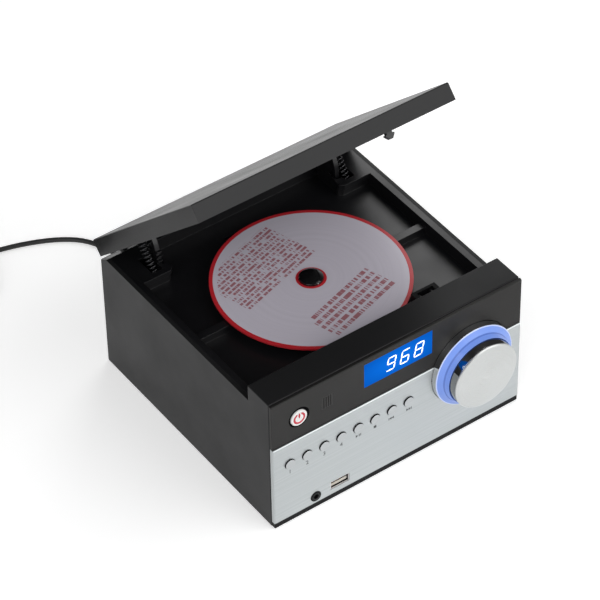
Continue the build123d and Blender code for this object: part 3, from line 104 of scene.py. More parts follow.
# %% Route of the mains lead
lead_d = 3.2
lead_r = lead_d / 2
back_y = front_y * 1000 + 176.5
coil_turns = 12
coil_step = lead_d + 0.5
coil_in_r = 11.9
coil_centre = (-136.0, front_y * 1000 + 278.5)
coil_low = 2.9
spiral_ends = (5.5 * math.pi, 11.5 * math.pi, 17.5 * math.pi)


def coil_at(turn):
    """The middle of the coiled lead at `turn` radians from where it starts, in millimetres."""
    rate = coil_step / (2 * math.pi)
    radius = coil_in_r + rate * spiral_ends[0]
    height, way, last = coil_low, -1, 0
    for end in spiral_ends:
        if turn <= end:
            break
        radius += way * rate * (end - last)
        way, last = -way, end
    radius += way * rate * (turn - last)
    for end in spiral_ends:
        height += coil_step * min(max((turn - end) / math.pi + 0.5, 0), 1)
    place = math.pi / 2 + turn
    return Vector((
        coil_centre[0] + radius * math.cos(place),
        coil_centre[1] + radius * math.sin(place),
        height,
    ))


coil_way_in = (coil_at(0.01) - coil_at(0)).normalized()
coil_way_out = (coil_at(2 * math.pi * coil_turns) - coil_at(2 * math.pi * coil_turns - 0.01)).normalized()
coil_end = coil_at(2 * math.pi * coil_turns)
plug_z = 7.0
lead_route = [
    Vector((-30, back_y + 1.5, 20)),
    Vector((-30, front_y * 1000 + 212, 20)),
    Vector((-31.5, front_y * 1000 + 245, lead_r)),
    Vector((-38.5, front_y * 1000 + 270.5, lead_r)),
    Vector((-54, front_y * 1000 + 285, lead_r)),
    Vector((-80, front_y * 1000 + 296.5, lead_r)),
    coil_at(0) - coil_way_in * 26,
]
lead_route += [coil_at(i * math.pi / 8) for i in range(16 * coil_turns + 1)]
lead_route += [
    coil_end + coil_way_out * 24,
    coil_end + coil_way_out * 52 + Vector((0, -7, plug_z - coil_end.z)),
    coil_end + coil_way_out * 72 + Vector((0, -19, plug_z - coil_end.z)),
]

# %% The lead itself
lead_curve = bpy.data.curves.new("lead_sheath", "CURVE")
lead_curve.dimensions = "3D"
lead_line = lead_curve.splines.new("NURBS")
lead_line.points.add(len(lead_route) - 1)
for point, place in zip(lead_line.points, lead_route):
    point.co = (*(place / 1000), 1)
lead_line.order_u = 3
lead_line.use_endpoint_u = True
lead_curve.resolution_u = 5
lead_curve.bevel_depth = lead_r / 1000
lead_curve.bevel_resolution = 4
lead_curve.use_fill_caps = True
lead = bpy.data.objects.new("lead_sheath", lead_curve)
bpy.context.scene.collection.objects.link(lead)
print("points on the lead:", len(lead_route))

# %% [markdown]
# Small turned things, such as the strain relief, the screw heads and the socket collars, all start as
# a ring that is raised and resized step by step, as a lathe would follow a profile. One helper does
# it: each step extrudes the ring upwards and scales it to the next radius, and a radius of nought
# closes it at a pole.

# %% Helpers for shaping
def use_only(piece):
    """Select one object and make it the active one."""
    bpy.ops.object.select_all(action="DESELECT")
    piece.select_set(True)
    bpy.context.view_layer.objects.active = piece


def select_where(piece, test):
    """Go into edit mode on a piece, with only the vertices selected whose place passes a test."""
    use_only(piece)
    bpy.ops.object.mode_set(mode="EDIT")
    bpy.ops.mesh.select_mode(type="VERT")
    bpy.ops.mesh.select_all(action="DESELECT")
    bpy.ops.object.mode_set(mode="OBJECT")
    for vertex in piece.data.vertices:
        vertex.select = bool(test(vertex.co))
    bpy.ops.object.mode_set(mode="EDIT")


def settle(piece):
    """Put the place, turn and size of an object in its mesh, with its object at the origin."""
    use_only(piece)
    bpy.ops.object.transform_apply(location=True, rotation=True, scale=True)


def close_ring(to_pole):
    """Close the ring that is selected, at a pole or with a flat face."""
    if to_pole:
        bpy.ops.mesh.merge(type="CENTER")
    else:
        bpy.ops.mesh.edge_face_add()


def raise_profile(name, profile, sides=48, close_start=True, close_end=True):
    """Raise a ring along Z through (radius, height) pairs in millimetres, and close its ends."""
    bpy.ops.object.select_all(action="DESELECT")
    radius, height = profile[0]
    bpy.ops.mesh.primitive_circle_add(vertices=sides, radius=max(radius, 0.01) / 1000)
    piece = bpy.context.object
    piece.name = name
    bpy.ops.object.mode_set(mode="EDIT")
    bpy.ops.mesh.select_all(action="SELECT")
    bpy.ops.transform.translate(value=(0, 0, height / 1000))
    if close_start:
        close_ring(False)
    for step, (next_radius, next_height) in enumerate(profile[1:], start=1):
        bpy.ops.mesh.select_all(action="DESELECT")
        bpy.ops.object.mode_set(mode="OBJECT")
        for vertex in piece.data.vertices[-sides:]:
            vertex.select = True
        bpy.ops.object.mode_set(mode="EDIT")
        bpy.ops.mesh.select_mode(type="VERT")
        bpy.ops.mesh.extrude_edges_move(
            TRANSFORM_OT_translate={"value": (0, 0, (next_height - height) / 1000)}
        )
        share = max(next_radius, 0.01) / max(radius, 0.01)
        bpy.ops.transform.resize(
            value=(share, share, 1), center_override=(0, 0, next_height / 1000)
        )
        if next_radius == 0:
            close_ring(True)
        elif step == len(profile) - 1 and close_end:
            close_ring(False)
        radius, height = next_radius, next_height
    bpy.ops.mesh.select_all(action="SELECT")
    bpy.ops.mesh.normals_make_consistent(inside=False)
    bpy.ops.object.mode_set(mode="OBJECT")
    return piece


def point_along(piece, way, place):
    """Turn a piece's Z to point along `way`, put its origin at `place` (millimetres) and settle it."""
    turn = Vector(way).to_track_quat("Z", "Y").to_matrix().to_4x4()
    piece.matrix_world = Matrix.Translation(Vector(place) / 1000) @ turn
    bpy.context.view_layer.update()
    settle(piece)
    return piece


def soften(piece, width, segments=2):
    """Round a piece's edges a little with a bevel, and shade it smooth by angle."""
    use_only(piece)
    bevel = piece.modifiers.new("soft_edges", "BEVEL")
    bevel.width = width / 1000
    bevel.segments = segments
    bevel.limit_method = "ANGLE"
    bpy.ops.object.modifier_apply(modifier=bevel.name)
    bpy.ops.object.shade_smooth_by_angle(angle=math.radians(40))
    return piece


def join_all(pieces, name):
    """Join several meshes into the first of them."""
    bpy.ops.object.select_all(action="DESELECT")
    for piece in pieces:
        piece.select_set(True)
    bpy.context.view_layer.objects.active = pieces[0]
    if len(pieces) > 1:
        bpy.ops.object.join()
    pieces[0].name = name
    settle(pieces[0])
    return pieces[0]


def spare_copy(piece):
    """A copy of a piece with its own mesh."""
    copy = piece.copy()
    copy.data = piece.data.copy()
    bpy.context.scene.collection.objects.link(copy)
    settle(copy)
    return copy


def place_of(node):
    """The lowest and highest corner of a CAD node, in millimetres."""
    low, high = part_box(node)
    return low * 1000, high * 1000


# %% [markdown]
# A finish is a small tree of nodes. Three effects come back in many finishes, so each is a group with
# named inputs and outputs: the fine grain of a moulding, the long scratches of brushed metal, and the
# rings left by turning. The groups only give colours, values and a normal. The shader stays outside.

# %% Helpers for node trees
def tone(code):
    """A colour from its usual six-figure code, made linear for the shader."""
    parts = [int(code[i:i + 2], 16) / 255 for i in (0, 2, 4)]
    return (*[p / 12.92 if p <= 0.04045 else ((p + 0.055) / 1.055) ** 2.4 for p in parts], 1)


def add_node(tree, kind, *feeds, settings=None, **named):
    """Add a node to a tree. Feeds are values or sockets for its inputs, in order or by name."""
    node = tree.nodes.new("ShaderNode" + kind)
    for key, value in (settings or {}).items():
        setattr(node, key, value)
    pairs = list(enumerate(feeds)) + [(key.replace("_", " "), value) for key, value in named.items()]
    for key, value in pairs:
        if value is None:
            continue
        if isinstance(value, bpy.types.NodeSocket):
            tree.links.new(value, node.inputs[key])
        else:
            node.inputs[key].default_value = value
    return node


def sum_of(tree, operation, a, b=None, c=None):
    """One step of arithmetic on the values of a tree."""
    return add_node(tree, "Math", a, b, c, settings={"operation": operation}).outputs[0]


def vector_step(tree, operation, a, b=None):
    """One step of arithmetic on the vectors of a tree."""
    node = add_node(tree, "VectorMath", a, b, settings={"operation": operation})
    return node.outputs["Value" if operation == "LENGTH" else "Vector"]


def object_place(tree):
    """The place of a point of the surface on the object, in metres."""
    return add_node(tree, "TexCoord").outputs["Object"]


def blend_colours(tree, share, first, second):
    """Mix two colours by a share from 0 to 1."""
    node = add_node(tree, "Mix", settings={"data_type": "RGBA"})
    for index, value in ((0, share), (6, first), (7, second)):
        if isinstance(value, bpy.types.NodeSocket):
            tree.links.new(value, node.inputs[index])
        else:
            node.inputs[index].default_value = value
    return node.outputs[2]


def span(tree, value, low, high, to_low=0.0, to_high=1.0):
    """Stretch the range from low to high onto another, and hold it at its ends."""
    node = add_node(tree, "MapRange", value, low, high, to_low, to_high)
    return node.outputs[0]


def new_group(name, inputs, outputs):
    """An empty node group with its inputs and outputs, and the two nodes that stand for them."""
    group = bpy.data.node_groups.new(name, "ShaderNodeTree")
    for label, kind, value in inputs:
        socket = group.interface.new_socket(label, in_out="INPUT", socket_type="NodeSocket" + kind)
        socket.default_value = value
    for label, kind in outputs:
        group.interface.new_socket(label, in_out="OUTPUT", socket_type="NodeSocket" + kind)
    return group, group.nodes.new("NodeGroupInput").outputs, group.nodes.new("NodeGroupOutput").inputs


# %% Group: fine grain of a moulding
grain_group, given, result = new_group(
    "moulded_grain",
    [("Colour", "Color", (0.02, 0.02, 0.02, 1)), ("Pale", "Color", (0.04, 0.04, 0.04, 1)),
     ("Grain", "Float", 2500.0), ("Depth", "Float", 0.1),
     ("Gloss rough", "Float", 0.3), ("Dull rough", "Float", 0.45)],
    [("Colour", "Color"), ("Roughness", "Float"), ("Normal", "Vector")],
)
edge_round = add_node(grain_group, "Bevel", 0.0004, settings={"samples": 6})
place = object_place(grain_group)
fine = add_node(grain_group, "TexNoise", Vector=place, Scale=given["Grain"], Detail=2.0)
cloudy = add_node(grain_group, "TexNoise", Vector=place, Scale=22.0, Detail=4.0, Roughness=0.6)
handled = span(grain_group, cloudy.outputs["Fac"], 0.35, 0.7)
tint = add_node(grain_group, "TexNoise", Vector=place, Scale=9.0, Detail=2.0)
share = span(grain_group, tint.outputs["Fac"], 0.3, 0.75, 0.0, 0.8)
grain_group.links.new(blend_colours(grain_group, share, given["Colour"], given["Pale"]), result["Colour"])
rough = add_node(grain_group, "MapRange", handled, 0.0, 1.0, given["Gloss rough"], given["Dull rough"])
grain_group.links.new(rough.outputs[0], result["Roughness"])
bump = add_node(
    grain_group, "Bump", Strength=given["Depth"], Distance=0.0001, Height=fine.outputs["Fac"],
    Normal=edge_round.outputs[0],
)
grain_group.links.new(bump.outputs[0], result["Normal"])

# %% Group: long scratches of brushed metal
brushed_group, given, result = new_group(
    "brushed_lines",
    [("Colour", "Color", (0.6, 0.6, 0.6, 1)), ("Dark line", "Color", (0.5, 0.5, 0.5, 1)),
     ("Line scale", "Vector", (8.0, 2200.0, 2200.0)), ("Depth", "Float", 0.1),
     ("Bright rough", "Float", 0.25), ("Dull rough", "Float", 0.4)],
    [("Colour", "Color"), ("Roughness", "Float"), ("Normal", "Vector")],
)
place = object_place(brushed_group)
stretched = vector_step(brushed_group, "MULTIPLY", place, given["Line scale"])
lines = add_node(brushed_group, "TexNoise", Vector=stretched, Scale=1.0, Detail=3.0, Roughness=0.65)
patches = add_node(brushed_group, "TexNoise", Vector=place, Scale=14.0, Detail=2.0)
share = span(brushed_group, lines.outputs["Fac"], 0.35, 0.7)
brushed_group.links.new(
    blend_colours(brushed_group, share, given["Colour"], given["Dark line"]), result["Colour"]
)
half_share = sum_of(brushed_group, "MULTIPLY", share, 0.5)
mixed = sum_of(brushed_group, "MULTIPLY_ADD", patches.outputs["Fac"], 0.5, half_share)
rough = add_node(brushed_group, "MapRange", mixed, 0.2, 0.8, given["Bright rough"], given["Dull rough"])
brushed_group.links.new(rough.outputs[0], result["Roughness"])
bump = add_node(brushed_group, "Bump", Strength=given["Depth"], Distance=0.0001, Height=lines.outputs["Fac"])
brushed_group.links.new(bump.outputs[0], result["Normal"])

# %% Group: rings left by turning, round a centre in the plane of a front panel or of a disc
turned_group, given, result = new_group(
    "turned_rings",
    [("Colour", "Color", (0.7, 0.7, 0.7, 1)), ("Dark ring", "Color", (0.6, 0.6, 0.6, 1)),
     ("Centre", "Vector", (0.0, 0.0, 0.0)), ("Across", "Vector", (1.0, 0.0, 1.0)),
     ("Rings", "Float", 3500.0), ("Depth", "Float", 0.1),
     ("Bright rough", "Float", 0.2), ("Dull rough", "Float", 0.35)],
    [("Colour", "Color"), ("Roughness", "Float"), ("Normal", "Vector"), ("Radius", "Float")],
)
moved = vector_step(turned_group, "SUBTRACT", object_place(turned_group), given["Centre"])
reach = vector_step(turned_group, "LENGTH", vector_step(turned_group, "MULTIPLY", moved, given["Across"]))
ring_place = sum_of(turned_group, "MULTIPLY", reach, given["Rings"])
rings = add_node(
    turned_group, "TexNoise", settings={"noise_dimensions": "1D"}, W=ring_place, Scale=1.0, Detail=3.0
)
share = span(turned_group, rings.outputs["Fac"], 0.3, 0.7)
turned_group.links.new(
    blend_colours(turned_group, share, given["Colour"], given["Dark ring"]), result["Colour"]
)
rough = add_node(turned_group, "MapRange", share, 0.0, 1.0, given["Bright rough"], given["Dull rough"])
turned_group.links.new(rough.outputs[0], result["Roughness"])
bump = add_node(turned_group, "Bump", Strength=given["Depth"], Distance=0.0001, Height=rings.outputs["Fac"])
turned_group.links.new(bump.outputs[0], result["Normal"])
turned_group.links.new(reach, result["Radius"])
print("node groups:", [g.name for g in bpy.data.node_groups])


# %% Helpers for finishes
def new_finish(name, **constants):
    """A material with one Principled shader. Constants go straight on the shader's own sockets."""
    material = bpy.data.materials.new(name)
    material.use_nodes = True
    for label, value in constants.items():
        shader_of(material).inputs[label.replace("_", " ")].default_value = value
    return material


def shader_of(material):
    """The shader of a material."""
    return material.node_tree.nodes["Principled BSDF"]


def use_group(material, group, values):
    """Place a group in a material, set its inputs and wire its outputs to the shader."""
    tree = material.node_tree
    node = tree.nodes.new("ShaderNodeGroup")
    node.node_tree = group
    for label, value in values.items():
        node.inputs[label].default_value = value
    shader = shader_of(material)
    for label, socket in (("Colour", "Base Color"), ("Roughness", "Roughness"), ("Normal", "Normal")):
        tree.links.new(node.outputs[label], shader.inputs[socket])
    return node


def moulded(name, colour, pale, grain=2500.0, depth=0.1, gloss=0.3, dull=0.45, **constants):
    """A moulded plastic or painted finish."""
    material = new_finish(name, **constants)
    use_group(material, grain_group, {
        "Colour": tone(colour), "Pale": tone(pale), "Grain": grain, "Depth": depth,
        "Gloss rough": gloss, "Dull rough": dull,
    })
    return material


def brushed(name, colour, dark, scale=(8.0, 2200.0, 2200.0), depth=0.1, bright=0.25, dull=0.4, **constants):
    """A metal finish with fine lines along one way."""
    material = new_finish(name, Metallic=1.0, **constants)
    use_group(material, brushed_group, {
        "Colour": tone(colour), "Dark line": tone(dark), "Line scale": scale, "Depth": depth,
        "Bright rough": bright, "Dull rough": dull,
    })
    return material


def group_in(material):
    """The effect group in a material."""
    return next(node for node in material.node_tree.nodes if node.type == "GROUP")


def recolour(material, mask, colour):
    """Give a finish another colour where a mask is 1."""
    tree = material.node_tree
    mixed = blend_colours(tree, mask, group_in(material).outputs["Colour"], tone(colour))
    tree.links.new(mixed, shader_of(material).inputs["Base Color"])


def behind(material, y):
    """A mask that is 1 where the surface lies further back than y."""
    tree = material.node_tree
    depth_in = add_node(tree, "SeparateXYZ", object_place(tree)).outputs["Y"]
    return sum_of(tree, "GREATER_THAN", depth_in, y)


def dress(finish, *names):
    """Give a finish to CAD nodes that are shown as they are."""
    for name in names:
        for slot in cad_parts[name].material_slots:
            slot.material = finish


def hand_over(piece, body, slot, finish, *replaced):
    """Finish a new piece: its material, the body it rides on and what it stands for. The slot is not used."""
    piece.data.materials.clear()
    piece.data.materials.append(finish)
    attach(piece, body)
    if replaced:
        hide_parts(*replaced)
    return piece


# %% [markdown]
# The black parts differ more in sheen than in colour. The cabinet is painted board with a satin sheen,
# the deck and the inside of the lid are a finely grained moulding, and the lid's top is polished, so
# that it mirrors the bright room at a low angle. The display strip is smooth dark grey plastic. Round
# the power button it carries painted shade: a black ring, a little to the right, for the gap's shadow.

# %% Black finishes
cabinet_paint = moulded(
    "cabinet_paint", "1c1c1d", "202021", 1800.0, 0.1, 0.36, 0.46, Specular_IOR_Level=0.17
)
deck_moulding = moulded("deck_moulding", "0d0d0f", "131316", 3200.0, 0.2, 0.32, 0.42)
lid_gloss = moulded(
    "lid_gloss", "1a1a1b", "1e1e1f", 900.0, 0.02, 0.14, 0.24,
    Specular_IOR_Level=0.0, Coat_Weight=0.48, Coat_Roughness=0.18,
)
lid_gloss.node_tree.links.new(
    group_in(lid_gloss).outputs["Roughness"], shader_of(lid_gloss).inputs["Coat Roughness"]
)
display_satin = moulded(
    "display_satin", "1c1b1a", "201f1e", 1500.0, 0.05, 0.46, 0.54, Specular_IOR_Level=0.25
)
frame_moulding = moulded(
    "frame_moulding", "121213", "171718", 2600.0, 0.2, 0.4, 0.55, Specular_IOR_Level=0.08
)
rubber = moulded("rubber", "161616", "1e1e1e", 4000.0, 0.3, 0.65, 0.8)
dress(cabinet_paint, "cabinet")
dress(deck_moulding, "deck", "lid_liner")
dress(lid_gloss, "lid_shell")
dress(display_satin, "display_panel")
dress(frame_moulding, "front_frame", "base_plate", "rear_panel", "latch_housing", "damper_body", "sled",
      "lens_holder")
dress(rubber, "feet", "drive_mounts")

# %% Painted shade round the power button
gap_shade_r = 0.0071
gap_shade_aside = 0.0004
tree = display_satin.node_tree
power_low, power_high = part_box("power_button")
power_middle = (power_low + power_high) / 2
gap_shade_middle = (power_middle.x + gap_shade_aside, 0, power_middle.z)
from_power = vector_step(tree, "SUBTRACT", object_place(tree), gap_shade_middle)
from_power = vector_step(tree, "LENGTH", vector_step(tree, "MULTIPLY", from_power, (1, 0, 1)))
# Painted shade: a black, matt ring, set a little to the right, for the shadow in the gap round the power
# button.
painted_gap_shade = sum_of(tree, "LESS_THAN", from_power, gap_shade_r)
recolour(display_satin, painted_gap_shade, "060607")
gap_shade_specular = sum_of(tree, "MULTIPLY_ADD", painted_gap_shade, -0.24, 0.25)
tree.links.new(gap_shade_specular, shader_of(display_satin).inputs["Specular IOR Level"])

# %% [markdown]
# The lower panel is brushed aluminium, with lines that run across. On brushed metal a highlight
# spreads square to the lines. The knob's cap is turned, so its lines are rings and its highlights are
# two opposite wedges. That needs a little anisotropy, with a tangent that goes round the knob's axis.
# A push key has a silver face on a black body, so its colour changes a little way behind the face.
# That black also stands as painted shade for the gap round each key.

# %% Silver finishes
panel_silver = brushed("panel_silver", "bbbfc0", "b0b5b6", (9.0, 2600.0, 2600.0), 0.06, 0.34, 0.46)
dress(panel_silver, "silver_panel")
button_silver = brushed("button_silver", "babdbe", "b0b3b4", (60.0, 2600.0, 2600.0), 0.04, 0.26, 0.36)
key_face_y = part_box("key_1")[0].y
# Painted shade: near black behind the key's face, for the key's black body and the shade in the gap round it.
recolour(button_silver, behind(button_silver, key_face_y + 0.00015), "1a1a1c")
dress(button_silver, *[f"key_{i}" for i in range(1, 9)])

cap_low, cap_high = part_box("knob_cap")
knob_centre = (cap_low + cap_high) / 2
cap_turned = new_finish("cap_turned", Metallic=1.0, Anisotropic=0.75)
use_group(cap_turned, turned_group, {
    "Colour": tone("c8cac9"), "Dark ring": tone("c0c2c1"), "Centre": (knob_centre.x, 0, knob_centre.z),
    "Rings": 5200.0, "Depth": 0.05, "Bright rough": 0.26, "Dull rough": 0.36,
})
around = add_node(cap_turned.node_tree, "Tangent", settings={"direction_type": "RADIAL", "axis": "Y"})
cap_turned.node_tree.links.new(around.outputs[0], shader_of(cap_turned).inputs["Tangent"])
dress(cap_turned, "knob_cap")

chrome = moulded("chrome", "9a9b9c", "a0a1a2", 600.0, 0.01, 0.05, 0.1, Metallic=1.0)
dress(chrome, "knob_skirt")
steel = brushed("steel", "9a9b9d", "8a8b8d", (1500.0, 40.0, 1500.0), 0.08, 0.25, 0.4)
dress(steel, "case_screws", "hinge_pins", "encoder_shaft", "encoder_body", "guide_rods",
      "spindle_motor", "sled_motor", "drive_chassis", "hub_balls")

# %% [markdown]
# The display is a clear window over a lit blue field. The field glows, a little less towards its
# edges, and the digits glow white. The ring round the knob is milky plastic with lamps behind it, so it
# also glows, but weakly, and still takes light and shade on its stepped face.

# %% Lit finishes
lcd_low, lcd_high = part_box("lcd_window")
lcd_middle = (lcd_low + lcd_high) / 2
lcd_blue = new_finish("lcd_blue", Roughness=0.2, Emission_Strength=0.82, Specular_IOR_Level=0.0)
tree = lcd_blue.node_tree
shader = shader_of(lcd_blue)
place = object_place(tree)
half = (lcd_high - lcd_low) / 2
centred = vector_step(tree, "SUBTRACT", place, tuple(lcd_middle))
scaled = vector_step(tree, "MULTIPLY", centred, (1 / half.x, 0, 1 / half.z))
edge = span(tree, vector_step(tree, "LENGTH", scaled), 0.4, 1.4)
speck = add_node(tree, "TexNoise", Vector=place, Scale=3000.0, Detail=1.0)
field = blend_colours(tree, edge, tone("0a76f0"), tone("0860cc"))
tree.links.new(field, shader.inputs["Emission Color"])
unlit = blend_colours(tree, speck.outputs["Fac"], tone("021430"), tone("031a3c"))
tree.links.new(unlit, shader.inputs["Base Color"])
dress(lcd_blue, "lcd_window")

digit_white = new_finish("digit_white", Base_Color=tone("eef4ff"), Roughness=0.4, Emission_Strength=0.9)
tree = digit_white.node_tree
uneven = add_node(tree, "TexNoise", Vector=object_place(tree), Scale=700.0)
tree.links.new(
    blend_colours(tree, uneven.outputs["Fac"], tone("dcecff"), tone("ffffff")),
    shader_of(digit_white).inputs["Emission Color"],
)

ring_wall_r, rim_highlight_r, ring_step_r = 0.0279, 0.0276, 0.02405
ring_blue = new_finish("ring_blue", Emission_Strength=0.16)
tree = ring_blue.node_tree
shader = shader_of(ring_blue)
node = use_group(ring_blue, turned_group, {
    "Colour": tone("7494dd"), "Dark ring": tone("7090d8"), "Centre": (knob_centre.x, 0, knob_centre.z),
    "Rings": 900.0, "Depth": 0.02, "Bright rough": 0.22, "Dull rough": 0.3,
})
wall = sum_of(tree, "GREATER_THAN", node.outputs["Radius"], ring_wall_r)
# Painted shade: a darker blue line at the ring's step.
painted_step_shade = sum_of(tree, "COMPARE", node.outputs["Radius"], ring_step_r, 0.0002)
blue = blend_colours(tree, sum_of(tree, "MULTIPLY", painted_step_shade, 0.55), node.outputs["Colour"], tone("35509c"))
# Painted highlight: a pale line round the ring's outer edge.
painted_rim_highlight = sum_of(tree, "COMPARE", node.outputs["Radius"], rim_highlight_r, 0.0003)
blue = blend_colours(tree, sum_of(tree, "MULTIPLY", painted_rim_highlight, 0.6), blue, tone("dfe8ff"))
tree.links.new(blend_colours(tree, wall, blue, tone("c8c9cb")), shader.inputs["Base Color"])
tree.links.new(wall, shader.inputs["Metallic"])
tree.links.new(sum_of(tree, "MULTIPLY_ADD", wall, -0.2, 0.26), shader.inputs["Roughness"])
tree.links.new(blend_colours(tree, wall, tone("6a8cf0"), (0, 0, 0, 1)), shader.inputs["Emission Color"])
dress(ring_blue, "light_ring")

# %% [markdown]
# The disc has a printed face: a pale lilac ground, a red ring at its rim and another round its bore,
# and rows of fine print. The rings are read from the distance to the disc's centre. The rows are
# plain dashes of uneven length, made from two measures: how far along a row, and which row it is.

# %% Printed disc
disc_low, disc_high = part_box("disc")
disc_centre = (disc_low + disc_high) / 2
print_r, red_rim_r, red_bore_r = 0.055, 0.0577, 0.0092
disc_print = new_finish("disc_print", Coat_Weight=0.3, Coat_Roughness=0.2)
tree = disc_print.node_tree
node = use_group(disc_print, turned_group, {
    "Colour": tone("beb9c4"), "Dark ring": tone("bab5c0"), "Centre": (0, disc_centre.y, 0),
    "Across": (1.0, 1.0, 0.0), "Rings": 400.0, "Depth": 0.0, "Bright rough": 0.4, "Dull rough": 0.46,
})
radius = node.outputs["Radius"]
turned = add_node(
    tree, "Mapping", object_place(tree), settings={"vector_type": "TEXTURE"},
    Location=(0, disc_centre.y, 0), Rotation=(0, 0, math.radians(17)),
)
along, across, _ = add_node(tree, "SeparateXYZ", turned.outputs[0]).outputs


def both_of(a, b):
    """A mask that is 1 where both of two masks are."""
    return sum_of(tree, "MULTIPLY", a, b)


def print_block(along_span, across_span, pitch, seed):
    """A block of rows of dashes: 1 where there is ink."""
    row = sum_of(tree, "DIVIDE", across, pitch)
    number = sum_of(tree, "FLOOR", row)
    stroke = sum_of(tree, "COMPARE", sum_of(tree, "FRACT", row), 0.5, 0.3)
    along_row = sum_of(tree, "MULTIPLY", along, 900.0)
    spot = add_node(tree, "CombineXYZ", along_row, sum_of(tree, "MULTIPLY", number, 7.3), seed)
    letters = add_node(tree, "TexNoise", Vector=spot.outputs[0], Scale=1.0, Detail=1.0)
    ink = span(tree, letters.outputs["Fac"], 0.44, 0.5)
    own_number = sum_of(tree, "ADD", number, seed)
    end = add_node(tree, "TexWhiteNoise", own_number, settings={"noise_dimensions": "1D"})
    uneven = (along_span[0] - along_span[1]) * 0.35
    row_end = sum_of(tree, "MULTIPLY_ADD", end.outputs["Value"], uneven, along_span[1])
    started = sum_of(tree, "GREATER_THAN", along, along_span[0])
    inside = both_of(started, sum_of(tree, "LESS_THAN", along, row_end))
    above = sum_of(tree, "GREATER_THAN", across, across_span[0])
    tall = both_of(above, sum_of(tree, "LESS_THAN", across, across_span[1]))
    return both_of(both_of(ink, stroke), both_of(inside, tall))


first_block = print_block((-0.043, 0.036), (0.012, 0.050), 0.0029, 1.7)
second_block = print_block((-0.030, 0.040), (-0.044, -0.020), 0.0048, 5.1)
ink = sum_of(tree, "MULTIPLY", sum_of(tree, "MAXIMUM", first_block, second_block), 0.8)
on_face = sum_of(tree, "LESS_THAN", radius, print_r)
printed = blend_colours(tree, both_of(ink, on_face), node.outputs["Colour"], tone("8a3038"))
rim = sum_of(tree, "GREATER_THAN", radius, red_rim_r)
bore = sum_of(tree, "LESS_THAN", radius, red_bore_r)
ringed = blend_colours(tree, sum_of(tree, "MAXIMUM", rim, bore), printed, tone("b4202a"))
tree.links.new(ringed, shader_of(disc_print).inputs["Base Color"])
dress(disc_print, "disc")

# %% [markdown]
# The pieces that are left are plain: glossy black for the hub, white and black mouldings, bare iron,
# green boards and one small lens. The flat socket carries painted shade: its shell and tongue are
# painted near black a little way behind their front edge, for the dark inside of the socket.

# %% Other finishes
hub_gloss = moulded("hub_gloss", "0a0a0b", "101012", 700.0, 0.01, 0.06, 0.12)
dress(hub_gloss, "disc_hub")
dark_window = moulded("dark_window", "201f1e", "242322", 900.0, 0.02, 0.42, 0.5, Specular_IOR_Level=0.28)
dress(dark_window, "remote_window")
button_white = moulded("button_white", "ecebea", "e2e1e0", 1200.0, 0.03, 0.3, 0.4)
dress(button_white, "power_button")
white_part = moulded("white_part", "dcdad2", "cfcdc4", 1500.0, 0.06, 0.4, 0.55)
dress(white_part, "lcd_module", "damper_gear", "sled_gear", "sled_pinion")
dress(deck_moulding, "latch_catch")
socket_black = moulded("socket_black", "0d0d0e", "131314", 2000.0, 0.1, 0.3, 0.4, Specular_IOR_Level=0.1)
dress(socket_black, "jack_socket", "phono_sockets", "push_switches")
nickel = brushed("nickel", "dcd8d8", "d0cccc", (900.0, 30.0, 900.0), 0.04, 0.3, 0.4)
# Painted shade: the shell is painted near black behind its mouth, for the dark inside of the socket.
recolour(nickel, behind(nickel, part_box("usb_shell")[0].y + 0.0004), "222224")
dress(nickel, "usb_shell")
tongue_cream = moulded("tongue_cream", "d8d2c8", "ccc6bb", 1500.0, 0.05, 0.4, 0.5)
# Painted shade: the tongue is painted near black behind its front edge, for the dark inside of the socket.
recolour(tongue_cream, behind(tongue_cream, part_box("usb_tongue")[0].y + 0.0003), "161617")
dress(tongue_cream, "usb_tongue")
board_green = moulded("board_green", "1d4a30", "245538", 500.0, 0.1, 0.3, 0.45)
dress(board_green, "main_board", "front_board")
iron = brushed("iron", "5a4e44", "453b34", (40.0, 40.0, 1400.0), 0.3, 0.5, 0.7)
dress(iron, "transformer")
lens_glass = new_finish(
    "lens_glass", Base_Color=tone("a9bcd8"), Roughness=0.03, Transmission_Weight=0.8, IOR=1.5
)
dress(lens_glass, "lens")
lead_rubber = moulded("lead_rubber", "141414", "1b1b1b", 1500.0, 0.15, 0.45, 0.6)
dress(lead_rubber, "mains_plug", "lead_boot", "coil_tie")

# %% [markdown]
# The strain relief is a soft sleeve that keeps the lead from bending sharply at the panel. It tapers,
# and its grooves let it flex, so its profile goes in and out as it gets thinner.

# %% Strain relief
relief_profile = [
    (1.7, -6.0), (5.4, -6.0), (5.4, -4.4), (3.85, -4.2), (3.85, -0.4), (5.2, -0.4), (5.2, 1.0), (4.4, 1.5),
]
for groove in range(5):
    start = 2.4 + groove * 3.4
    wide = 3.7 - groove * 0.26
    relief_profile += [(wide, start), (wide - 0.05, start + 1.9)]
    relief_profile += [(wide - 0.75, start + 2.2), (wide - 0.75, start + 3.0)]
relief_profile += [(2.5, 19.4), (2.3, 20.0), (1.62, 20.0)]
relief = raise_profile("strain_relief", relief_profile, 40, close_start=False, close_end=False)
point_along(relief, (0, 1, 0), (-30, back_y, 20))
soften(relief, 0.15)
hand_over(relief, "chassis", "rubber", lead_rubber, "lead_boot")

# %% The lead, given its finish and attached to the chassis
hand_over(lead, "chassis", "lead_black", lead_rubber, "mains_lead")

# %% [markdown]
# Two springs lift the lid. Each is hard steel wire wound in an even helix. A small ring of vertices is
# swept up a screw to give the wire its twelve turns. When the lid shuts the spring is squeezed towards
# its seat, but here it is wound only at its length with the lid open, so it doesn't follow the lid when
# it shuts, which a real one does.

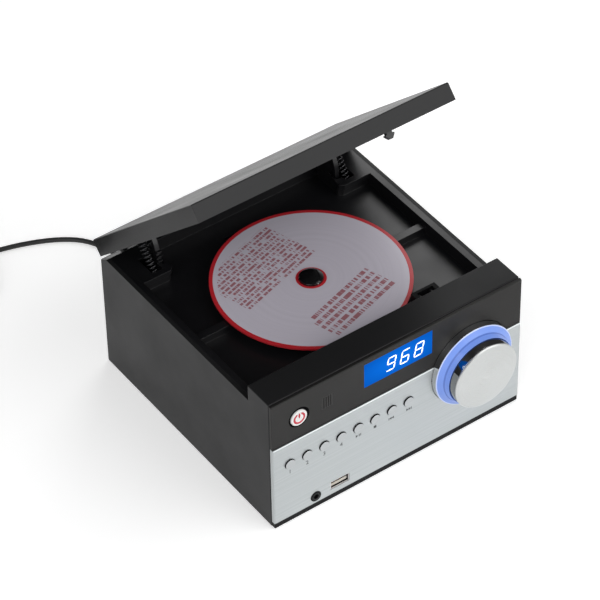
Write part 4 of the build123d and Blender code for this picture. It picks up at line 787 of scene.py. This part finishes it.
# %% Lid springs
open_angle = math.radians(43.7)
spring_x = 70.0
pin_y, pin_z = front_y * 1000 + 173.3, 88.1
seat_reach, seat_rise = 17.5, 2.9
spring_foot = Vector((spring_x, front_y * 1000 + 143.6, 79.8))
spring_head = Vector((
    spring_x,
    pin_y - seat_reach * math.cos(open_angle) + seat_rise * math.sin(open_angle),
    pin_z + seat_reach * math.sin(open_angle) + seat_rise * math.cos(open_angle),
))
spring_length = (spring_head - spring_foot).length
lean = (spring_head - spring_foot).normalized()
spring_turns = 12
wire_d = 0.9
spring_steel = moulded("spring_steel", "48484a", "525254", 1200.0, 0.03, 0.22, 0.35, Metallic=1.0)


def wind_spring(name):
    """Wind one spring along Z from the origin with a screw."""
    bpy.ops.object.select_all(action="DESELECT")
    bpy.ops.mesh.primitive_circle_add(
        vertices=12, radius=wire_d / 2000, location=(0.00255, 0, 0.00047), rotation=(math.pi / 2, 0, 0)
    )
    spring = bpy.context.object
    spring.name = name
    settle(spring)
    screw = spring.modifiers.new("turns", "SCREW")
    screw.angle = math.tau
    screw.iterations = spring_turns
    screw.screw_offset = (spring_length - 0.94) / spring_turns / 1000
    screw.steps = 28
    screw.render_steps = 28
    screw.use_merge_vertices = False
    screw.use_smooth_shade = True
    bpy.ops.object.modifier_apply(modifier=screw.name)
    bpy.ops.object.mode_set(mode="EDIT")
    bpy.ops.mesh.select_all(action="SELECT")
    bpy.ops.mesh.remove_doubles(threshold=0.000001)
    bpy.ops.mesh.select_all(action="DESELECT")
    bpy.ops.mesh.select_non_manifold()
    bpy.ops.mesh.edge_face_add()
    bpy.ops.mesh.select_all(action="SELECT")
    bpy.ops.mesh.normals_make_consistent(inside=False)
    bpy.ops.object.mode_set(mode="OBJECT")
    return spring


for side, name in ((-1, "left"), (1, "right")):
    spring = wind_spring(f"wound_spring_{name}")
    point_along(spring, lean, (side * spring_foot.x, spring_foot.y, spring_foot.z))
    hand_over(spring, "chassis", "steel", spring_steel, f"lid_spring_{name}")
    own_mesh(spring)

# %% [markdown]
# Each character on the display is made of bars with pointed ends, the way a segment display is laid
# out. A bar starts as a six-sided prism whose two halves are pulled apart. Seven of them make a digit,
# which leans to the right. The digits are thin slabs on the face of the window.

# %% Digits on the display
def segment_bar(length, width, thick):
    """A bar with pointed ends, lying along X, as thick as `thick`, all in millimetres."""
    bpy.ops.object.select_all(action="DESELECT")
    bpy.ops.mesh.primitive_cylinder_add(
        vertices=6, radius=width / 1732, depth=thick / 1000, rotation=(math.pi / 2, 0, 0)
    )
    bar = bpy.context.object
    settle(bar)
    spare = (length - 2 * width / 1.732) / 2
    for side in (1, -1):
        select_where(bar, lambda place: place.x * side > 0)
        bpy.ops.transform.translate(value=(side * spare / 1000, 0, 0))
        bpy.ops.object.mode_set(mode="OBJECT")
    return bar


digit_w, digit_h, bar_w = 5.4, 9.4, 0.95
segment_places = {
    "a": (0, digit_h / 2, False), "g": (0, 0, False), "d": (0, -digit_h / 2, False),
    "f": (-digit_w / 2, digit_h / 4, True), "b": (digit_w / 2, digit_h / 4, True),
    "e": (-digit_w / 2, -digit_h / 4, True), "c": (digit_w / 2, -digit_h / 4, True),
}
digit_segments = {"6": "acdefg", "8": "abcdefg", "9": "abcdfg"}
slant = math.tan(math.radians(11))


def seven_segment(digit, middle_x, middle_z, face_y):
    """A leaning digit, its middle at a point of the window's face."""
    bars = []
    for letter in digit_segments[digit]:
        x, z, upright = segment_places[letter]
        bar = segment_bar((digit_h / 2 if upright else digit_w) - 0.35, bar_w, 0.06)
        if upright:
            bar.rotation_euler = (0, math.pi / 2, 0)
        bar.location = ((middle_x + x) / 1000, (face_y - 0.03) / 1000, (middle_z + z) / 1000)
        settle(bar)
        bars.append(bar)
    made = join_all(bars, f"digit_{digit}")
    for vertex in made.data.vertices:
        vertex.co.x += (vertex.co.z - middle_z / 1000) * slant
    return made


lcd_from, lcd_to = place_of("lcd_window")
digits_z = (lcd_from.z + lcd_to.z) / 2 - 0.3
digits = [
    seven_segment(digit, lcd_from.x + share * (lcd_to.x - lcd_from.x), digits_z, lcd_from.y)
    for digit, share in (("9", 0.395), ("6", 0.6), ("8", 0.805))
]
lit_digits = join_all(digits, "lit_digits")
hand_over(lit_digits, "chassis", "button_white", digit_white)

# %% [markdown]
# The power button carries the usual red sign of a ring with a stroke in its gap. The ring starts as a
# flat torus with its top cut away, and the stroke is a thin bar with round ends.

# %% Sign on the power button
sign_red = moulded("sign_red", "b5102a", "d02a40", 1500.0, 0.03, 0.35, 0.45)
button_from, button_to = place_of("power_button")
button_x = (button_from.x + button_to.x) / 2
button_z = (button_from.z + button_to.z) / 2
bpy.ops.object.select_all(action="DESELECT")
bpy.ops.mesh.primitive_torus_add(
    major_radius=0.0034, minor_radius=0.00065, major_segments=64, minor_segments=8,
    location=(button_x / 1000, button_from.y / 1000, button_z / 1000), rotation=(math.pi / 2, 0, 0),
)
sign_ring = bpy.context.object
sign_ring.scale = (1, 1, 0.4)
settle(sign_ring)
select_where(sign_ring, lambda place: place.z > button_z / 1000 and abs(place.x - button_x / 1000) < 0.0013)
bpy.ops.mesh.delete(type="VERT")
bpy.ops.mesh.select_non_manifold()
bpy.ops.mesh.edge_face_add()
bpy.ops.object.mode_set(mode="OBJECT")
sign_bar = segment_bar(3.8, 1.15, 0.24)
sign_bar.rotation_euler = (0, math.pi / 2, 0)
sign_bar.location = (button_x / 1000, button_from.y / 1000, (button_z + 1.9) / 1000)
settle(sign_bar)
power_sign = join_all([sign_ring, sign_bar], "power_sign")
hand_over(power_sign, "power", "button_white", sign_red)

# %% [markdown]
# Below each key is a small printed mark. The first four keys have a plain number and the other four
# the usual signs for play, stop and skipping back and on. A sign is a thin prism of three or four
# sides, and a number is a text curve made into a mesh. All stand on the panel as thin ink.

# %% Marks under the keys
ink_grey = moulded("ink_grey", "3c3d3f", "444547", 2000.0, 0.02, 0.5, 0.6)
panel_from, panel_to = place_of("silver_panel")
mark_y = panel_from.y - 0.02
mark_drop = 6.3


def prism_mark(sides, size, x, z, turn, stretch=(1, 1)):
    """A thin prism on the panel, turned in its plane and stretched."""
    bpy.ops.object.select_all(action="DESELECT")
    bpy.ops.mesh.primitive_cylinder_add(
        vertices=sides, radius=size / 1000, depth=0.00004, rotation=(math.pi / 2, 0, 0)
    )
    mark = bpy.context.object
    settle(mark)
    mark.rotation_euler = (0, turn, 0)
    settle(mark)
    mark.scale = (stretch[0], 1, stretch[1])
    mark.location = (x / 1000, mark_y / 1000, z / 1000)
    settle(mark)
    return mark


def number_mark(number, x, z):
    """A printed number on the panel."""
    bpy.ops.object.select_all(action="DESELECT")
    bpy.ops.object.text_add(rotation=(math.pi / 2, 0, 0))
    text = bpy.context.object
    text.data.body = str(number)
    text.data.size = 0.0042
    text.data.align_x = "CENTER"
    text.data.extrude = 0.00002
    text.data.resolution_u = 3
    bpy.ops.object.convert(target="MESH")
    mark = bpy.context.object
    mark.location = (x / 1000, mark_y / 1000, (z - 1.4) / 1000)
    settle(mark)
    return mark


def arrow(x, z, way):
    """A triangle that points to +X or -X."""
    return prism_mark(3, 1.15, x, z, math.pi / 2 if way > 0 else -math.pi / 2)


def stroke(x, z, width):
    """A short upright bar."""
    return prism_mark(4, 0.7071, x, z, math.pi / 4, (width, 1.9))


key_middles = []
for i in range(1, 9):
    low, high = place_of(f"key_{i}")
    key_middles.append(((low.x + high.x) / 2, (low.z + high.z) / 2 - mark_drop))
marks = [number_mark(i + 1, *key_middles[i]) for i in range(4)]
x, z = key_middles[4]
marks += [arrow(x - 1.2, z, 1), stroke(x + 0.7, z, 0.5), stroke(x + 1.8, z, 0.5)]
x, z = key_middles[5]
marks += [stroke(x, z, 1.9)]
x, z = key_middles[6]
marks += [stroke(x - 2.1, z, 0.4), arrow(x - 0.8, z, -1), arrow(x + 0.9, z, -1)]
x, z = key_middles[7]
marks += [arrow(x - 0.9, z, 1), arrow(x + 0.8, z, 1), stroke(x + 2.1, z, 0.4)]
key_marks = join_all(marks, "key_marks")
hand_over(key_marks, "chassis", "panel_silver", ink_grey)

# %% [markdown]
# A thin printed arc beside the knob shows which way is louder. It is one edge, spun through a few
# degrees round a centre, then given a little thickness.

# %% Arc beside the knob
arc_points = [Vector((23.3, 54.2)), Vector((23.1, 45.3)), Vector((26.8, 31.4))]


def circle_through(a, b, c):
    """The centre and radius of the circle through three points."""
    d = 2 * (a.x * (b.y - c.y) + b.x * (c.y - a.y) + c.x * (a.y - b.y))
    x = (a.length_squared * (b.y - c.y) + b.length_squared * (c.y - a.y) + c.length_squared * (a.y - b.y)) / d
    y = (a.length_squared * (c.x - b.x) + b.length_squared * (a.x - c.x) + c.length_squared * (b.x - a.x)) / d
    return Vector((x, y)), (Vector((x, y)) - a).length


arc_centre, arc_r = circle_through(*arc_points)
first_angle = math.atan2(arc_points[0].y - arc_centre.y, arc_points[0].x - arc_centre.x) % math.tau
last_angle = math.atan2(arc_points[2].y - arc_centre.y, arc_points[2].x - arc_centre.x) % math.tau
bpy.ops.object.select_all(action="DESELECT")
bpy.ops.mesh.primitive_plane_add(size=1)
volume_arc = bpy.context.object
volume_arc.name = "volume_arc"
volume_arc.scale = (0.00028, 0.00004, 1)
settle(volume_arc)
steps = 28
bpy.ops.object.mode_set(mode="EDIT")
bpy.ops.mesh.select_all(action="SELECT")
bpy.ops.transform.translate(value=(arc_r / 1000, 0, 0))
bpy.ops.mesh.spin(steps=steps, angle=last_angle - first_angle, center=(0, 0, 0), axis=(0, -1, 0))
bpy.ops.mesh.select_all(action="SELECT")
bpy.ops.mesh.normals_make_consistent(inside=False)
bpy.ops.object.mode_set(mode="OBJECT")
volume_arc.rotation_euler = (0, -first_angle, 0)
volume_arc.location = (arc_centre.x / 1000, mark_y / 1000, arc_centre.y / 1000)
settle(volume_arc)
hand_over(volume_arc, "chassis", "panel_silver", ink_grey)
arc_ends = [round(math.degrees(angle)) for angle in (first_angle, last_angle)]
print(f"arc radius {arc_r:.1f} mm, from {arc_ends[0]} to {arc_ends[1]} degrees")

# %% [markdown]
# Sockets show a little metal. The round socket has a dark contact sleeve just inside its mouth, and
# the flat one has four gilt contacts on its tongue.

# %% Socket details
gilt = moulded("gilt", "c9a24a", "b8923e", 900.0, 0.02, 0.18, 0.3, Metallic=1.0)
jack_from, jack_to = place_of("jack_socket")
jack_mouth = ((jack_from.x + jack_to.x) / 2, jack_from.y, 10.4)
sleeve_profile = [(2.25, 0.0), (2.25, -0.12), (1.9, -0.2), (1.86, -0.2)]
sleeve = raise_profile("jack_sleeve", sleeve_profile, 40, close_start=False, close_end=False)
point_along(sleeve, (0, 1, 0), jack_mouth)
dark_steel = brushed("dark_steel", "3c3d3e", "343536", (1500.0, 40.0, 1500.0), 0.08, 0.3, 0.45)
hand_over(sleeve, "chassis", "steel", dark_steel)

tongue_from, tongue_to = place_of("usb_tongue")
contacts = []
for i in range(4):
    bpy.ops.object.select_all(action="DESELECT")
    bpy.ops.mesh.primitive_cube_add(size=1)
    contact = bpy.context.object
    contact.scale = (0.001, 0.007, 0.00012)
    contact.location = (
        (tongue_from.x + (tongue_to.x - tongue_from.x) * (0.17 + 0.22 * i)) / 1000,
        (tongue_from.y + 4.2) / 1000,
        (tongue_to.z + 0.03) / 1000,
    )
    settle(contact)
    contacts.append(soften(contact, 0.04))
usb_contacts = join_all(contacts, "usb_contacts")
hand_over(usb_contacts, "chassis", "steel", gilt)

# %% [markdown]
# The rear panel is held by six small screws with crossed slots, and the two sound sockets there have
# metal collars round a white and a red insulator. They are seen only from behind, but the set is
# turned round in the hand, so they are there.

# %% Rear screws and collars
def cross_screw(name, radius, rise):
    """A pan-headed screw with a crossed slot, its axis along Z."""
    pan = [(radius, 0), (radius, rise * 0.35), (radius * 0.9, rise * 0.7), (radius * 0.6, rise)]
    screw = raise_profile(name, pan, 32)
    bars = []
    for turn in (0, math.pi / 2):
        bpy.ops.object.select_all(action="DESELECT")
        bpy.ops.mesh.primitive_cube_add(size=1)
        bar = bpy.context.object
        bar.scale = (radius * 1.1 / 1000, radius * 0.22 / 1000, rise / 1000)
        bar.rotation_euler = (0, 0, turn)
        bar.location = (0, 0, rise / 1000)
        settle(bar)
        bars.append(bar)
    for bar in bars:
        use_only(screw)
        cut = screw.modifiers.new("slot", "BOOLEAN")
        cut.object = bar
        cut.operation = "DIFFERENCE"
        bpy.ops.object.modifier_apply(modifier=cut.name)
        bpy.data.objects.remove(bar)
    bpy.ops.object.shade_smooth_by_angle(angle=math.radians(35))
    return screw


rear_from, rear_to = place_of("rear_panel")
rear_screws = []
first_screw = cross_screw("rear_screws", 2.4, 1.3)
for x in (rear_from.x + 8, 0, rear_to.x - 8):
    for z in (rear_from.z + 7, rear_to.z - 7):
        screw = spare_copy(first_screw)
        point_along(screw, (0, 1, 0), (x, rear_to.y - 0.05, z))
        rear_screws.append(screw)
bpy.data.objects.remove(first_screw)
hand_over(join_all(rear_screws, "rear_screws"), "chassis", "steel", steel)

phono_from, phono_to = place_of("phono_sockets")
insulator_white = moulded("insulator_white", "e6e4de", "dddbd4", 1500.0, 0.05, 0.35, 0.5)
insulator_red = moulded("insulator_red", "a82a2c", "9c2426", 1500.0, 0.05, 0.35, 0.5)
phono_mid = (phono_from.x + phono_to.x) / 2
phono_z = 24.0
collar_profile = [(4.3, -3.2), (4.3, -0.3), (4.15, 0.1), (3.7, 0.1), (3.7, -0.3)]
insulator_profile = [(3.6, 0.02), (3.5, 0.12), (1.9, 0.12), (1.7, -0.6)]
for x, label, finish in ((phono_mid - 8, "left", insulator_white), (phono_mid + 8, "right", insulator_red)):
    collar = raise_profile(f"phono_collar_{label}", collar_profile, 40, close_start=False, close_end=False)
    point_along(collar, (0, 1, 0), (x, phono_to.y, phono_z))
    hand_over(collar, "chassis", "steel", steel)
    insulator = raise_profile(
        f"phono_insulator_{label}", insulator_profile, 40, close_start=False, close_end=False
    )
    point_along(insulator, (0, 1, 0), (x, phono_to.y, phono_z))
    hand_over(insulator, "chassis", "white_part", finish)

# %% [markdown]
# A product picture is lit softly on a pale table. The floor is white, and a soft glow that only the
# camera and bright reflections see keeps it white without more light on the set. One large lamp stands
# high at the right front, a second fills from the left front, a small one behind at the right lights the
# deck, and the room gets dim towards its ceiling, so black stays black.

# %% Floor
bpy.ops.object.select_all(action="DESELECT")
bpy.ops.mesh.primitive_plane_add(size=6)
floor = bpy.context.object
floor.name = "floor"
floor_white = new_finish("floor_white", Base_Color=(0.9, 0.9, 0.9, 1), Roughness=0.6)
tree = floor_white.node_tree
seen = add_node(tree, "LightPath").outputs
bright = sum_of(tree, "MAXIMUM", seen["Is Camera Ray"], seen["Is Transmission Ray"])
bright = sum_of(tree, "MAXIMUM", bright, seen["Is Glossy Ray"])
glow = add_node(tree, "Emission", (1, 1, 1, 1), sum_of(tree, "MULTIPLY", bright, 0.42))
both = add_node(tree, "AddShader", tree.nodes["Principled BSDF"].outputs[0], glow.outputs[0])
tree.links.new(both.outputs[0], tree.nodes["Material Output"].inputs["Surface"])
floor.data.materials.append(floor_white)

# %% World
world = bpy.data.worlds.new("room")
bpy.context.scene.world = world
world.use_nodes = True
tree = world.node_tree
seen = add_node(tree, "LightPath").outputs
bright = sum_of(tree, "MAXIMUM", seen["Is Camera Ray"], seen["Is Transmission Ray"])
way_up = add_node(tree, "SeparateXYZ", add_node(tree, "TexCoord").outputs["Generated"]).outputs["Z"]
dim = span(tree, way_up, 0.05, 0.55, 0.8, 0.1)
strength = sum_of(tree, "MAXIMUM", bright, dim)
tree.nodes["Background"].inputs["Color"].default_value = (1, 1, 1, 1)
tree.links.new(strength, tree.nodes["Background"].inputs["Strength"])


# %% Lamps
def soft_lamp(name, place, aim, size, power):
    """A square area lamp at a place, turned to face a point."""
    lamp = bpy.data.lights.new(name, "AREA")
    lamp.size = size
    lamp.energy = power
    holder = bpy.data.objects.new(name, lamp)
    bpy.context.scene.collection.objects.link(holder)
    holder.location = place
    holder.rotation_euler = (Vector(aim) - Vector(place)).to_track_quat("-Z", "Y").to_euler()


soft_lamp("key_lamp", (0.95, -1.55, 1.4), (0, 0, 0.05), 2.2, 33)
soft_lamp("fill_lamp", (-1.5, -1.0, 1.5), (0, 0, 0.05), 1.6, 22)
soft_lamp("rear_lamp", (0.34, 0.36, 0.47), (0.05, 0, 0.08), 0.3, 0.75)
print("lamps:", [lamp.name for lamp in bpy.data.lights])
bpy.context.scene.view_settings.view_transform = "Standard"
